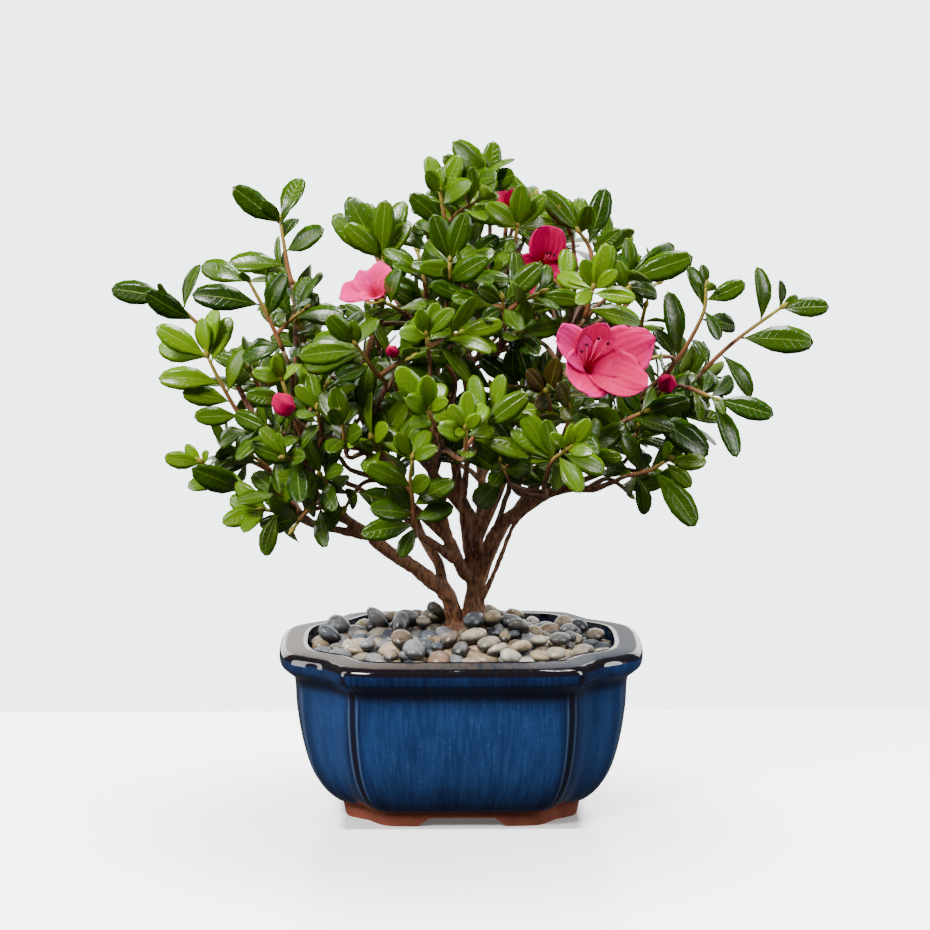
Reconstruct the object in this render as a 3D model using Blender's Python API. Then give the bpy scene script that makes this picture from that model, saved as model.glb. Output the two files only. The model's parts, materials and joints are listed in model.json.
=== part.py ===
"""Azalea bonsai in a lobed, glazed pot, full size.

The pot stands on four corner feet. It holds two drain screens, the soil and a bed of pebbles. One
woody plant stands in a plain hole in the soil and the pebbles: its root crown, stems, limbs and
twigs are one solid. Each leafy shoot, bloom and bud is a solid of its own on the end of a twig.

Lengths are in millimetres until a mesh is made. The view from the front looks along +Y.
"""
import math
import random

import bmesh
import bpy
import numpy as np
from mathutils import Matrix, Vector
from mathutils.bvhtree import BVHTree

MM = 0.001
GAP = 0.3

# Pot
POT_HEIGHT = 74.0
LIP_WIDTH = 11.4
FOOT_HEIGHT = 4.0
FOOT_WIDTH = 8.0
FRONT_CUT = (28.0, 38.0)
SIDE_CUT = (18.0, 27.0)
DRAIN_RADIUS = 5.5
DRAIN_X = 24.0
FLOOR = 11.0
# height, half length and half depth of the pot's outer face, from the feet up to the lip
POT_OUTSIDE = (
    (0.0, 51.7, 44.0), (7.0, 53.4, 45.6), (7.6, 56.0, 47.4), (12.5, 61.6, 50.4), (21.0, 66.8, 53.0),
    (33.0, 70.4, 54.9), (47.0, 72.6, 56.0), (60.0, 73.6, 56.6), (64.0, 77.2, 59.3), (66.5, 79.7, 61.2),
    (71.5, 80.0, 61.5), (POT_HEIGHT, 78.6, 60.1),
)
# the same for its inner face, from the lip down to the floor
POT_INSIDE = (
    (POT_HEIGHT, 80.0 - LIP_WIDTH, 61.5 - LIP_WIDTH), (71.5, 67.8, 49.4), (46.0, 66.4, 48.8),
    (31.0, 63.6, 47.4), (20.0, 59.0, 44.6), (13.5, 51.0, 39.6), (FLOOR, 44.0, 33.6),
)
# a quarter of the plan as shares of half length and half depth: side lobe, hollow corner, front lobe
PLAN_RIM = (
    (1.0, 0.0), (0.993, 0.27), (0.955, 0.47), (0.86, 0.6), (0.755, 0.7), (0.69, 0.82), (0.625, 0.94),
    (0.53, 0.983), (0.0, 1.0),
)
PLAN_FOOT = (
    (1.0, 0.0), (0.995, 0.33), (0.965, 0.58), (0.88, 0.69), (0.79, 0.765), (0.735, 0.85), (0.67, 0.945),
    (0.59, 0.985), (0.0, 1.0),
)

# Soil, drain screens and pebbles
SOIL_TOP = 62.0
SCREEN_SIZE = 18.0
SCREEN_THICKNESS = 0.8
SCREEN_HOLE = 5.5
SCREEN_PITCH = 7.5
BED_EDGE = 69.0
# height and share of the pot's hollow at each level of the mound of pebbles, from the soil up
MOUND = ((64.0, 0.93), (BED_EDGE, 0.9), (75.5, 0.35))
PEBBLE = (8.8, 7.2, 4.4)
PEBBLE_PITCH = (14.8, 12.6)

# Stems
CROWN_CENTRE = (2.0, 8.0)
CROWN = ((50.0, 8.6, 5.8), (61.0, 10.1, 7.1), (66.0, 11.9, 8.3), (74.0, 11.4, 7.9), (80.0, 8.2, 5.4))
SOIL_HOLE = (10.8, 7.8)
PEBBLE_HOLE = (12.6, 9.1)
TWIG_RADIUS = 1.35
THIN_LIMB = 2.3
TWIG_LONG = 35.0
SHOOT_RADIUS = (1.2, 0.85)
# each limb: its points, thick end first, and the radius at its two ends
LIMBS = (
    (((1, 8, 72), (-3, 8, 82), (-6, 5, 93), (-12, 2, 101), (-20, 0, 108), (-29, -3, 114),
      (-39, -7, 121)), 3.6, 2.6),
    (((5, 8, 72), (6, 8, 86), (7, 8, 99)), 5.0, 4.4),
    (((-37, -6, 120), (-48, -11, 128), (-59, -14, 135), (-66, -18, 148), (-70, -20, 165), (-72, -20, 185),
      (-71, -14, 205), (-72, -10, 222)), 2.3, 1.4),
    (((-37, -6, 120), (-50, -12, 124), (-65, -15, 128), (-78, -13, 134)), 2.2, 1.5),
    (((-66, -18, 148), (-78, -8, 158), (-90, 2, 172), (-100, 6, 190)), 1.8, 1.3),
    (((-8, 4, 96), (-10, 8, 106), (-18, 13, 119), (-27, 16, 141), (-38, 12, 160), (-44, 6, 176),
      (-42, 0, 196), (-36, -5, 216)), 2.6, 1.5),
    (((7, 8, 98), (1, 6, 103), (-4, 3, 114), (-8, -4, 128), (-12, -20, 147), (-12, -38, 160),
      (-9, -58, 168)), 3.3, 1.6),
    (((-3, 4, 108), (-9, 0, 114), (-17, -8, 121), (-20, -26, 127)), 2.3, 1.5),
    (((-5, 0, 117), (-20, -6, 133), (-33, -20, 148), (-40, -34, 162), (-37, -42, 180)), 2.1, 1.4),
    (((7, 8, 98), (8, 12, 110), (5, 17, 124), (-1, 20, 136), (-2, 22, 159), (-4, 20, 185), (-5, 12, 210),
      (-6, 3, 236)), 3.6, 1.5),
    (((-4, 20, 185), (3, 20, 212), (11, 18, 238)), 2.0, 1.4),
    (((-4, 19, 187), (8, 2, 199), (23, -8, 205), (38, -20, 212)), 1.9, 1.4),
    (((-12, -38, 160), (-12, -48, 178), (-13, -56, 194)), 1.7, 1.3),
    (((7, 8, 98), (11, 6, 108), (15, 4, 120), (26, 0, 132), (43, -5, 141), (58, -14, 143)), 3.4, 1.7),
    (((34, -2, 137), (36, -22, 141), (35, -44, 148)), 2.0, 1.4),
    (((26, 0, 132), (40, 4, 150), (58, 4, 167), (76, -1, 180)), 2.2, 1.5),
    (((8, 14, 117), (20, 16, 145), (34, 14, 175), (46, 10, 205)), 2.4, 1.5),
    (((2, 18, 127), (-14, 30, 145), (-32, 38, 162), (-46, 40, 182)), 2.4, 1.4),
    (((8, 14, 117), (10, 34, 138), (6, 50, 160), (2, 56, 190), (0, 48, 222)), 2.5, 1.4),
    (((13, 8, 102), (17, 15, 114), (28, 27, 131), (44, 38, 152), (54, 42, 176)), 2.2, 1.4),
)

# Leaves
LEAF_THICKNESS = 0.7
LEAF_ROOT_CLEAR = 3.0
LEAF_SMALLEST = 15.0
# length of a leaf and its width as a share of that: broad when young, slender when full grown
LEAF_SHORT = (12.0, 0.48)
LEAF_LONG = (28.0, 0.38)
GOLDEN_ANGLE = math.radians(137.5)
# leaves look away from a line this far behind the middle of the pot
CROWN_BACK = 70.0
# Shoots that show from the front: the stem's points, then each leaf as the share of the way up the
# stem at which it grows and the place of its tip.
FRONT_SHOOTS = (
    ("upper_left", ((-73, -9, 232), (-75, -8, 241), (-78, -6, 259)), (
        (0.96, -98, -14, 274), (1, -68, 4, 277), (0.71, -72, 5, 260), (0.52, -60, -23, 257),
        (0.31, -101, -6, 244), (1, -84, -14, 269), (0.95, -74, -24, 266))),
    ("left_shoot", ((-76, -30, 206), (-83, -32, 222), (-90, -34, 236)), (
        (1, -111, -25, 243), (0.65, -114, -35, 232), (0.47, -74, -47, 241), (0.37, -73, -19, 219),
        (0.08, -92, -17, 204), (0, -92, -44, 204), (1, -93, -41, 241))),
    ("far_left", ((-105, 6, 203), (-116, 2, 215), (-126, 0, 225)), (
        (1, -152, 4, 230), (0.55, -137, -8, 228), (0.76, -115, 6, 240), (0.98, -131, -8, 232))),
    ("left_bright", ((-91, -10, 167), (-98, -14, 179), (-105, -18, 193), (-109, -20, 202)), (
        (1, -131, -22, 215), (1, -112, -22, 219), (1, -106, -18, 223), (1, -102, -9, 215),
        (1, -132, -9, 206), (0.53, -93, -26, 206), (0.92, -99, -18, 219), (0.67, -130, -20, 195),
        (0.43, -120, -21, 188), (0.25, -115, -23, 175), (0, -106, 4, 161))),
    ("low_left", ((-89, -12, 141), (-103, -16, 148), (-112, -20, 156)), (
        (1, -128, -24, 159), (1, -119, -18, 164), (0.18, -115, -31, 155), (0.13, -103, 0, 147),
        (0.55, -118, -23, 145), (0.97, -109, -25, 162))),
    ("bottom_left", ((-57, -22, 138), (-70, -26, 135), (-85, -30, 137)), (
        (1, -101, -23, 140), (0.98, -102, -39, 133), (1, -93, -45, 131), (0.82, -84, -16, 145),
        (0.78, -86, -30, 117), (0.64, -73, -13, 119), (0.14, -58, -43, 125), (0.4, -63, -38, 150),
        (0.06, -50, -11, 149), (0.92, -98, -26, 148))),
    ("left_mid", ((-67, -36, 166), (-70, -40, 175), (-76, -48, 196)), (
        (1, -78, -58, 208), (1, -87, -59, 200), (0.67, -91, -49, 190), (0.35, -73, -52, 186),
        (1, -85, -34, 206), (0.95, -69, -34, 202), (0.33, -62, -26, 175), (0.14, -75, -55, 169))),
    ("left_inner", ((-49, -50, 165), (-50, -56, 176), (-51, -60, 183)), (
        (0.67, -52, -66, 195), (0.7, -55, -69, 187), (0.69, -45, -41, 186), (0.58, -61, -42, 187),
        (0.36, -56, -72, 170), (0.32, -42, -70, 178))),
    ("stacked_left", ((-33, -50, 196), (-37, -56, 201), (-44, -66, 213)), (
        (0.85, -68, -74, 210), (0.75, -67, -54, 203), (0.48, -52, -68, 198), (1, -55, -77, 226),
        (1, -45, -73, 224), (1, -36, -58, 224), (0.91, -63, -48, 213))),
    ("upper_rosette", ((-33, -8, 232), (-34, -6, 243)), (
        (1, -48, -8, 270), (1, -49, -16, 259), (1, -32, -13, 269), (0.86, -23, -8, 259),
        (1, -56, -4, 261), (1, -25, -4, 268), (1, -41, -4, 267))),
    ("mid_left_top", ((-14, -62, 209), (-15, -66, 217)), (
        (0.96, -18, -73, 229), (1, -10, -71, 231), (1, -5, -74, 229), (0.86, -26, -79, 220),
        (0.95, -21, -56, 223), (0.68, -4, -48, 215))),
    ("crown_left", ((-6, -2, 254), (-8, -4, 266), (-9, -4, 272)), (
        (0.97, -16, -17, 281), (1, -14, -2, 287), (0.86, 0, -6, 287), (0.13, -22, -10, 271),
        (0, -22, 7, 255), (0.67, 4, -23, 277), (1, -9, -6, 282))),
    ("crown_tip", ((13, 22, 258), (12, 16, 272)), (
        (1, -2, -4, 293), (1, 23, -4, 280), (1, 15, 12, 292), (0.86, 4, 27, 281),
        (0.61, 25, 29, 269), (1, 8, 8, 287))),
    ("crown_front", ((-6, -34, 231), (-5, -38, 245)), (
        (1, -12, -44, 265), (1, 2, -46, 266), (0.93, -16, -24, 253), (0.88, 7, -21, 250),
        (0.4, -9, -48, 242), (0.35, 10, -53, 247))),
    ("crown_right", ((23, -8, 246), (24, -10, 257)), (
        (1, 11, -23, 268), (1, 26, -18, 276), (1, 36, -12, 271), (0.94, 42, 1, 258),
        (0.46, 19, -19, 247), (0.91, 17, 4, 258), (1, 31, -12, 266))),
    ("right_top", ((58, 6, 240), (56, 8, 247), (52, 4, 253)), (
        (1, 51, 13, 268), (0.97, 35, -5, 272), (0.5, 64, 10, 272), (0.26, 70, 0, 254),
        (1, 46, 1, 266), (0.95, 56, -8, 266))),
    ("right_wing", ((67, 2, 228), (73, 4, 234)), (
        (1, 94, 10, 247), (0.71, 101, 1, 243), (1, 73, 2, 251), (0.75, 81, -18, 236),
        (0.29, 88, 14, 226))),
    ("right_bright", ((52, -40, 221), (55, -46, 234)), (
        (1, 50, -51, 247), (1, 61, -52, 253), (1, 65, -50, 242), (0.85, 73, -47, 230),
        (1, 45, -33, 239), (0.33, 76, -36, 218), (0.92, 48, -58, 229), (0.9, 40, -33, 235))),
    ("right_tall", ((92, -6, 196), (98, -8, 205), (105, -10, 220), (106, -10, 231)), (
        (0.1, 90, -9, 229), (0.76, 99, -8, 240), (1, 104, -12, 241), (0.84, 123, -12, 232),
        (0.74, 112, -12, 208), (0.62, 121, 1, 212), (0.08, 85, -1, 212), (0.94, 109, -17, 233))),
    ("far_right", ((106, 2, 192), (113, 0, 200), (123, -2, 209), (139, -4, 221)), (
        (0.76, 129, -8, 239), (1, 140, -2, 233), (1, 160, -6, 221), (0.65, 153, -4, 208),
        (0.26, 128, 2, 181), (0.07, 104, 12, 206), (1, 147, -2, 226))),
    ("right_hang", ((98, -18, 188), (104, -22, 186), (109, -24, 184)), (
        (0, 102, -37, 177), (1, 134, -26, 176), (0.89, 119, -26, 159), (0.66, 112, -37, 180),
        (0.23, 96, -11, 174), (0.83, 119, -11, 191), (0.53, 109, -10, 194))),
    ("right_low", ((71, -30, 176), (78, -34, 180)), (
        (0.47, 96, -42, 186), (0.26, 90, -45, 173), (1, 106, -32, 160), (0.81, 68, -45, 192),
        (0.81, 83, -23, 189))),
    ("right_tip", ((72, -26, 151), (81, -30, 154), (88, -34, 159)), (
        (1, 99, -37, 172), (1, 105, -38, 159), (0.93, 98, -35, 147), (0.59, 101, -33, 130),
        (0.18, 79, -29, 134), (0.25, 70, -34, 171), (0.92, 86, -42, 170), (1, 95, -29, 163),
        (0.13, 62, -12, 151))),
    ("front_pair", ((35, -66, 157), (37, -72, 165), (43, -78, 171)), (
        (0.55, 25, -75, 186), (0.5, 20, -74, 178), (0.54, 34, -74, 183), (0.5, 22, -74, 168),
        (0.5, 36, -56, 150), (0.96, 36, -83, 178), (1, 45, -84, 182), (1, 52, -84, 184),
        (1, 53, -87, 171), (0.71, 49, -87, 155), (0.82, 60, -69, 160))),
    ("front_mid", ((1, -80, 169), (1, -88, 181)), (
        (1, -6, -94, 192), (1, 3, -90, 197), (1, 6, -97, 189), (0.96, -3, -95, 180),
        (0.7, -10, -102, 184), (0.73, 14, -73, 179), (0, 1, -98, 171), (0.96, 11, -74, 189))),
    ("front_left", ((-11, -74, 178), (-15, -80, 189)), (
        (1, -26, -89, 207), (0.91, -15, -91, 204), (0.88, -7, -91, 193), (0.89, -7, -68, 197),
        (0.81, -24, -95, 194), (0.45, -21, -93, 183))),
    ("centre_low", ((-20, -52, 132), (-21, -58, 146), (-22, -62, 156), (-21, -66, 165)), (
        (1, -28, -72, 177), (0.95, -33, -59, 177), (0.98, -11, -74, 171), (0.61, -40, -73, 164),
        (0.96, -14, -54, 175), (0.27, -31, -64, 153), (0.35, -4, -68, 156), (0.15, -4, -64, 145),
        (0.22, -38, -72, 144), (0.07, -42, -64, 134), (0.02, -26, -59, 122), (0.52, -14, -76, 159),
        (0.31, -35, -43, 144))),
    ("centre_right", ((19, -46, 153), (16, -52, 161)), (
        (0.9, 6, -63, 172), (0.88, 24, -63, 170), (0.5, 12, -65, 153), (0.1, 25, -33, 139),
        (0.33, 6, -34, 138), (0.6, 28, -64, 160))),
    ("inner_top", ((18, -40, 221), (17, -44, 229)), (
        (1, 34, -46, 244), (0.9, 6, -57, 236), (1, 15, -31, 240), (0.54, 24, -56, 218),
        (0.76, 33, -30, 228), (0.55, 9, -55, 223))),
)
# Shoots at the back and sides, whose leaves are set round the stem by a rule: root and tip.
BACK_SHOOTS = (
    ((-66, 32, 178), (-92, 44, 192)), ((-52, 50, 152), (-74, 68, 158)), ((-34, 60, 176), (-48, 82, 188)),
    ((-60, 30, 214), (-82, 42, 234)), ((-32, 42, 226), (-44, 56, 250)), ((-8, 62, 192), (-12, 88, 206)),
    ((-2, 44, 244), (-4, 54, 268)), ((-12, 58, 148), (-20, 84, 150)), ((26, 60, 162), (34, 86, 170)),
    ((32, 46, 222), (40, 64, 242)), ((28, 36, 246), (34, 46, 266)), ((60, 46, 188), (80, 62, 200)),
    ((60, 40, 148), (84, 54, 154)), ((70, 24, 216), (88, 32, 228)), ((82, 18, 180), (108, 30, 186)),
    ((-84, 16, 146), (-106, 28, 152)), ((20, 66, 206), (25, 86, 222)),
)
BACK_LEAVES = 5
# Side shoots that fork from a front shoot and fill the crown behind it: the shoot, the place on
# its stem where the fork leaves it, and the fork's tip.
FORKS = (
    ("upper_left", (-74, -8.5, 237), (-60, -13, 243)),
    ("left_shoot", (-79, -30.9, 213), (-67, -24, 223)),
    ("left_mid", (-69, -38.7, 172), (-59, -28, 190)),
    ("left_inner", (-49.5, -53, 170.5), (-38, -36, 184)),
    ("stacked_left", (-34.8, -52.7, 198.2), (-21, -52, 206)),
    ("crown_front", (-5.7, -35.1, 235), (-23, -40, 242)),
    ("crown_left", (-6.6, -2.6, 257.5), (7, -8, 268)),
    ("inner_top", (17.7, -41.2, 223.4), (33, -42, 232)),
    ("inner_top", (17.4, -42.2, 225.4), (2, -34, 228)),
    ("mid_left_top", (-14.3, -63.2, 211.4), (-1, -50, 216)),
    ("centre_right", (18.4, -47.2, 154.6), (24, -32, 174)),
    ("front_mid", (1, -82, 172), (14, -62, 184)),
    ("centre_low", (-21.3, -59.5, 149.8), (-34, -44, 166)),
    ("right_bright", (53.1, -42.2, 225.8), (39, -34, 236)),
)
FORK_LEAVES = 4
FORK_RADIUS = (1.05, 0.9)

# Blooms and buds
PETAL_THICKNESS = 0.8
# A petal leans this far from the axis in the throat, in degrees, then half its spread, then all of
# it, over these shares of its length.
THROAT_LEAN = 9
PETAL_STRETCHES = (0.23, 0.55, 0.52)
# Each bloom: foot of its stalk, way it faces, number of stamens, and each petal's turn round the
# bloom, length, width and spread, with angles in degrees
BLOOMS = (
    ("bloom_right", (48.5, -60, 199), (0.4, -0.8, 0.45), 3, (
        (10, 27.0, 26.0, 72),
        (84, 19.5, 24.0, 52),
        (146, 24.5, 20.0, 66),
        (221, 22.0, 30.0, 62),
        (317, 24.5, 25.0, 62),
    )),
    ("bloom_top", (35, 6, 240), (0.1, -0.9, 0.0), 0, (
        (87, 19.5, 18.5, 66),
        (10, 15.0, 16.0, 66),
        (190, 16.5, 16.0, 68),
        (238, 15.0, 15.0, 64),
        (306, 15.0, 15.0, 64),
    )),
    ("bloom_left", (-34, -30, 225), (-0.25, -0.6, 0.76), 0, (
        (200, 16.0, 15.0, 90),
        (95, 14.0, 15.0, 75),
        (25, 12.0, 12.0, 45),
        (275, 12.0, 13.0, 52),
        (148, 13.0, 12.0, 68),
    )),
    ("bloom_crown", (23, 26, 253), (0.0, -0.5, 0.86), 0, (
        (0, 13.0, 9.5, 28),
        (72, 13.0, 9.5, 25),
        (144, 13.0, 9.5, 28),
        (216, 12.5, 9.5, 30),
        (288, 13.0, 9.5, 28),
    )),
)
# Each bud: foot of its stalk, way it points, length and width
BUDS = (
    ("bud_left", (-71, -50, 180), (-0.45, -0.5, 0.7), 12.0, 9.0),
    ("bud_right", (86, -16, 186), (0.3, -0.75, 0.55), 10.0, 7.6),
    ("bud_centre", (-27, -50, 206), (-0.3, -0.85, 0.4), 9.0, 5.0),
)

GLAZE = (0.012, 0.045, 0.16)
SCREEN_BLACK = (0.02, 0.02, 0.02)
SOIL_BROWN = (0.05, 0.035, 0.025)
STONE_GREY = (0.28, 0.27, 0.25)
BARK_BROWN = (0.13, 0.06, 0.035)
LEAF_GREEN = (0.07, 0.2, 0.02)
PETAL_PINK = (0.85, 0.1, 0.24)


def clear_scene():
    for old in list(bpy.data.objects):
        bpy.data.objects.remove(old, do_unlink=True)


def make_material(name, colour, roughness):
    material = bpy.data.materials.new(name)
    material.use_nodes = True
    shader = material.node_tree.nodes["Principled BSDF"]
    shader.inputs["Base Color"].default_value = (*colour, 1.0)
    shader.inputs["Roughness"].default_value = roughness
    return material


def unit(vector):
    vector = np.asarray(vector, float)
    return vector / np.linalg.norm(vector)


def make_object(name, shape, material=None):
    """An object from (points in mm, faces), with its faces turned outwards."""
    points, faces = shape
    mesh = bpy.data.meshes.new(name)
    mesh.from_pydata((np.asarray(points) * MM).tolist(), [], faces)
    sheet = bmesh.new()
    sheet.from_mesh(mesh)
    bmesh.ops.recalc_face_normals(sheet, faces=sheet.faces)
    sheet.to_mesh(mesh)
    sheet.free()
    if material:
        mesh.materials.append(material)
    thing = bpy.data.objects.new(name, mesh)
    bpy.context.scene.collection.objects.link(thing)
    return thing


def combine(thing, shapes, operation):
    """Join shapes to an object, or cut them from it, with one Boolean on a collection."""
    group = bpy.data.collections.new(thing.name + "_tools")
    bpy.context.scene.collection.children.link(group)
    for number, shape in enumerate(shapes):
        tool = make_object("%s_tool_%d" % (thing.name, number), shape)
        bpy.context.scene.collection.objects.unlink(tool)
        group.objects.link(tool)
    boolean = thing.modifiers.new("join", "BOOLEAN")
    boolean.operation = operation
    boolean.operand_type = "COLLECTION"
    boolean.collection = group
    boolean.solver = "EXACT"
    view = bpy.context.evaluated_depsgraph_get()
    result = bpy.data.meshes.new_from_object(thing.evaluated_get(view))
    thing.modifiers.clear()
    thing.data = result
    for tool in list(group.objects):
        bpy.data.objects.remove(tool, do_unlink=True)
    bpy.data.collections.remove(group)
    keep_outer_shell(thing.data)
    return thing


def keep_outer_shell(mesh):
    """Keep the largest body of a mesh: loose scraps and sealed hollows go."""
    sheet = bmesh.new()
    sheet.from_mesh(mesh)
    bmesh.ops.triangulate(sheet, faces=sheet.faces)
    left = set(sheet.faces)
    shells = []
    while left:
        shell = set()
        front = [left.pop()]
        while front:
            face = front.pop()
            shell.add(face)
            for edge in face.edges:
                for other in edge.link_faces:
                    if other in left:
                        left.remove(other)
                        front.append(other)
        shells.append(shell)
    shells.sort(key=len, reverse=True)
    for shell in shells[1:]:
        bmesh.ops.delete(sheet, geom=list(shell), context="FACES")
    sheet.to_mesh(mesh)
    sheet.free()


def plan_ring(height, half_length, half_depth):
    """One level of the pot: the lobed plan, which passes from the rim's shape to the foot's."""
    share = min(1.0, max(0.0, height / POT_HEIGHT))
    quarter = (1 - share) * np.array(PLAN_FOOT) + share * np.array(PLAN_RIM)
    back = np.vstack((quarter, quarter[-2::-1] * (-1, 1)))
    plan = np.vstack((back, back[-2:0:-1] * (1, -1)))
    ring = np.empty((len(plan), 3))
    ring[:, 0] = plan[:, 0] * half_length
    ring[:, 1] = plan[:, 1] * half_depth
    ring[:, 2] = height
    return ring


def loft(rings):
    """A closed solid through rings of equal length, with one flat face over each end."""
    count = len(rings[0])
    faces = [tuple(range(count))[::-1]]
    for level in range(len(rings) - 1):
        for k in range(count):
            a = level * count + k
            b = level * count + (k + 1) % count
            faces.append((a, b, b + count, a + count))
    last = (len(rings) - 1) * count
    faces.append(tuple(range(last, last + count)))
    return np.vstack(rings), faces


def prism(outline, bottom, top):
    """An upright prism on a plan outline."""
    outline = np.asarray(outline, float)
    return loft([np.column_stack((outline, np.full(len(outline), level))) for level in (bottom, top)])


def ellipse(centre, radii, sides):
    angle = np.arange(sides) * 2 * math.pi / sides
    return np.column_stack((centre[0] + radii[0] * np.cos(angle), centre[1] + radii[1] * np.sin(angle)))


def rectangle(centre, size):
    x, y = centre
    a, b = size[0] / 2, size[1] / 2
    return ((x - a, y - b), (x + a, y - b), (x + a, y + b), (x - a, y + b))


def foot_cut(widths, reach, along_x):
    """The gap between two feet: a long trapezium, narrow at the top."""
    top, bottom = widths
    low = -1.0
    half_low = bottom / 2 + (bottom - top) / 2 * (-low / FOOT_HEIGHT)
    section = np.array(((-half_low, low), (half_low, low), (top / 2, FOOT_HEIGHT),
                        (-top / 2, FOOT_HEIGHT)))
    rings = []
    for side in (-reach, reach):
        along = np.full(4, side)
        if along_x:
            rings.append(np.column_stack((along, section[:, 0], section[:, 1])))
        else:
            rings.append(np.column_stack((section[:, 0], along, section[:, 1])))
    return loft(rings)


def inside_size(height):
    """Half length and half depth of the pot's hollow at a height."""
    levels = np.array(POT_INSIDE)[::-1]
    return np.interp(height, levels[:, 0], levels[:, 1]), np.interp(height, levels[:, 0], levels[:, 2])


def build_pot():
    rings = [plan_ring(*level) for level in POT_OUTSIDE + POT_INSIDE]
    pot = make_object("pot", loft(rings), make_material("glaze", GLAZE, 0.12))
    recess_top = FOOT_HEIGHT + 0.6
    recess = [plan_ring(level, 51.7 - FOOT_WIDTH, 44.0 - FOOT_WIDTH) for level in (0.0, recess_top)]
    recess[0][:, 2] = -1.0
    cuts = [loft(recess), foot_cut(FRONT_CUT, 70.0, False), foot_cut(SIDE_CUT, 90.0, True)]
    for side in (-1, 1):
        cuts.append(prism(ellipse((side * DRAIN_X, 0), (DRAIN_RADIUS, DRAIN_RADIUS), 12), 1.0, FLOOR + 2))
    return combine(pot, cuts, "DIFFERENCE")


def build_screens():
    """A square of plastic mesh over each drain hole, under the soil."""
    material = make_material("screen", SCREEN_BLACK, 0.5)
    low = FLOOR + GAP
    for side, name in ((-1, "drain_screen_left"), (1, "drain_screen_right")):
        square = rectangle((side * DRAIN_X, 0), (SCREEN_SIZE, SCREEN_SIZE))
        plate = prism(square, low, low + SCREEN_THICKNESS)
        holes = []
        for across in (-SCREEN_PITCH / 2, SCREEN_PITCH / 2):
            for back in (-SCREEN_PITCH / 2, SCREEN_PITCH / 2):
                spot = rectangle((side * DRAIN_X + across, back), (SCREEN_HOLE, SCREEN_HOLE))
                holes.append(prism(spot, low - 1, low + SCREEN_THICKNESS + 1))
        combine(make_object(name, plate, material), holes, "DIFFERENCE")


def build_soil():
    rings = []
    for height, half_length, half_depth in POT_INSIDE[:1:-1]:
        rings.append(plan_ring(height + GAP, half_length - GAP, half_depth - GAP))
    half_length, half_depth = inside_size(SOIL_TOP)
    rings.append(plan_ring(SOIL_TOP, half_length - GAP, half_depth - GAP))
    soil = make_object("soil", loft(rings), make_material("soil", SOIL_BROWN, 0.9))
    cuts = [prism(ellipse(CROWN_CENTRE, SOIL_HOLE, 24), CROWN[0][0] - GAP, SOIL_TOP + 5)]
    pocket = SCREEN_SIZE + 2 * GAP
    for side in (-1, 1):
        top = FLOOR + 2 * GAP + SCREEN_THICKNESS
        cuts.append(prism(rectangle((side * DRAIN_X, 0), (pocket, pocket)), FLOOR - 1, top))
    return combine(soil, cuts, "DIFFERENCE")


def pebble(centre, half_sizes, turn):
    """A stone as far as it stands out of the bed: six sides and a flat top, turned."""
    angle = np.arange(6) * math.pi / 3
    rings = []
    for share, height in ((1.0, -0.7), (0.62, 0.9)):
        ring = np.column_stack((share * np.cos(angle), share * np.sin(angle), np.full(6, height)))
        rings.append(ring * half_sizes @ np.array(turn).T + centre)
    return loft(rings)


def build_gravel():
    """The pebble bed: a mounded slab on the soil, and larger-than-life pebbles sunk in its top."""
    rings = []
    for height in (SOIL_TOP + GAP, BED_EDGE):
        half_length, half_depth = inside_size(height)
        rings.append(plan_ring(height, half_length - GAP, half_depth - GAP))
    gravel = make_object("gravel", loft(rings), make_material("stone", STONE_GREY, 0.35))
    shapes = []
    rings = []
    for height, share in MOUND:
        outline = ellipse((0, 0), (half_length * share, half_depth * share), 14)
        rings.append(np.column_stack((outline, np.full(14, height))))
    shapes.append(loft(rings))
    draw = random.Random(11)
    for row in range(-5, 6):
        for column in range(-7, 8):
            x = (column + 0.5 * (row % 2)) * PEBBLE_PITCH[0] + draw.uniform(-0.9, 0.9)
            y = row * PEBBLE_PITCH[1] + draw.uniform(-0.8, 0.8)
            sizes = np.array(PEBBLE) * draw.uniform(0.9, 1.05)
            turn = Matrix.Rotation(draw.uniform(-0.5, 0.5), 3, "Z")
            turn = turn @ Matrix.Rotation(draw.uniform(-0.2, 0.2), 3, "X")
            room_x = half_length - sizes[0] - 1.0
            room_y = half_depth - sizes[0] - 1.0
            corner = abs(x) / room_x * 0.72 + abs(y) / room_y * 0.72
            if abs(x) > room_x or abs(y) > room_y or corner > 1.04:
                continue
            out = math.hypot(x / half_length, y / half_depth)
            height = np.interp(out, *np.array(MOUND)[:0:-1, ::-1].T)
            shapes.append(pebble((x, y, height), sizes, turn))
    combine(gravel, shapes, "UNION")
    hole = prism(ellipse(CROWN_CENTRE, PEBBLE_HOLE, 16), SOIL_TOP - 5, POT_HEIGHT + 30)
    return combine(gravel, [hole], "DIFFERENCE")


def frames(points, end_way=None):
    """Unit tangent and two normals at each point of a path, carried along it without twist."""
    points = np.asarray(points, float)
    tangents = np.gradient(points, axis=0)
    tangents /= np.linalg.norm(tangents, axis=1)[:, None]
    if end_way is not None:
        tangents[-1] = end_way
    side = np.cross(tangents[0], (0.31, 0.17, 0.93))
    normals = []
    for tangent in tangents:
        side = unit(side - tangent * (side @ tangent))
        normals.append((side, np.cross(tangent, side)))
    return tangents, normals


def tube(points, start_radius, end_radius, sides, end_way=None):
    """A tapering rod along a path, flat at both ends, its far end square to end_way if given."""
    points = np.asarray(points, float)
    _, normals = frames(points, end_way)
    radii = np.linspace(start_radius, end_radius, len(points))
    angle = (np.arange(sides) + 0.37) * 2 * math.pi / sides
    rings = []
    for point, (a, b), radius in zip(points, normals, radii):
        rings.append(point + radius * (np.outer(np.cos(angle), a) + np.outer(np.sin(angle), b)))
    return loft(rings)


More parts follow.
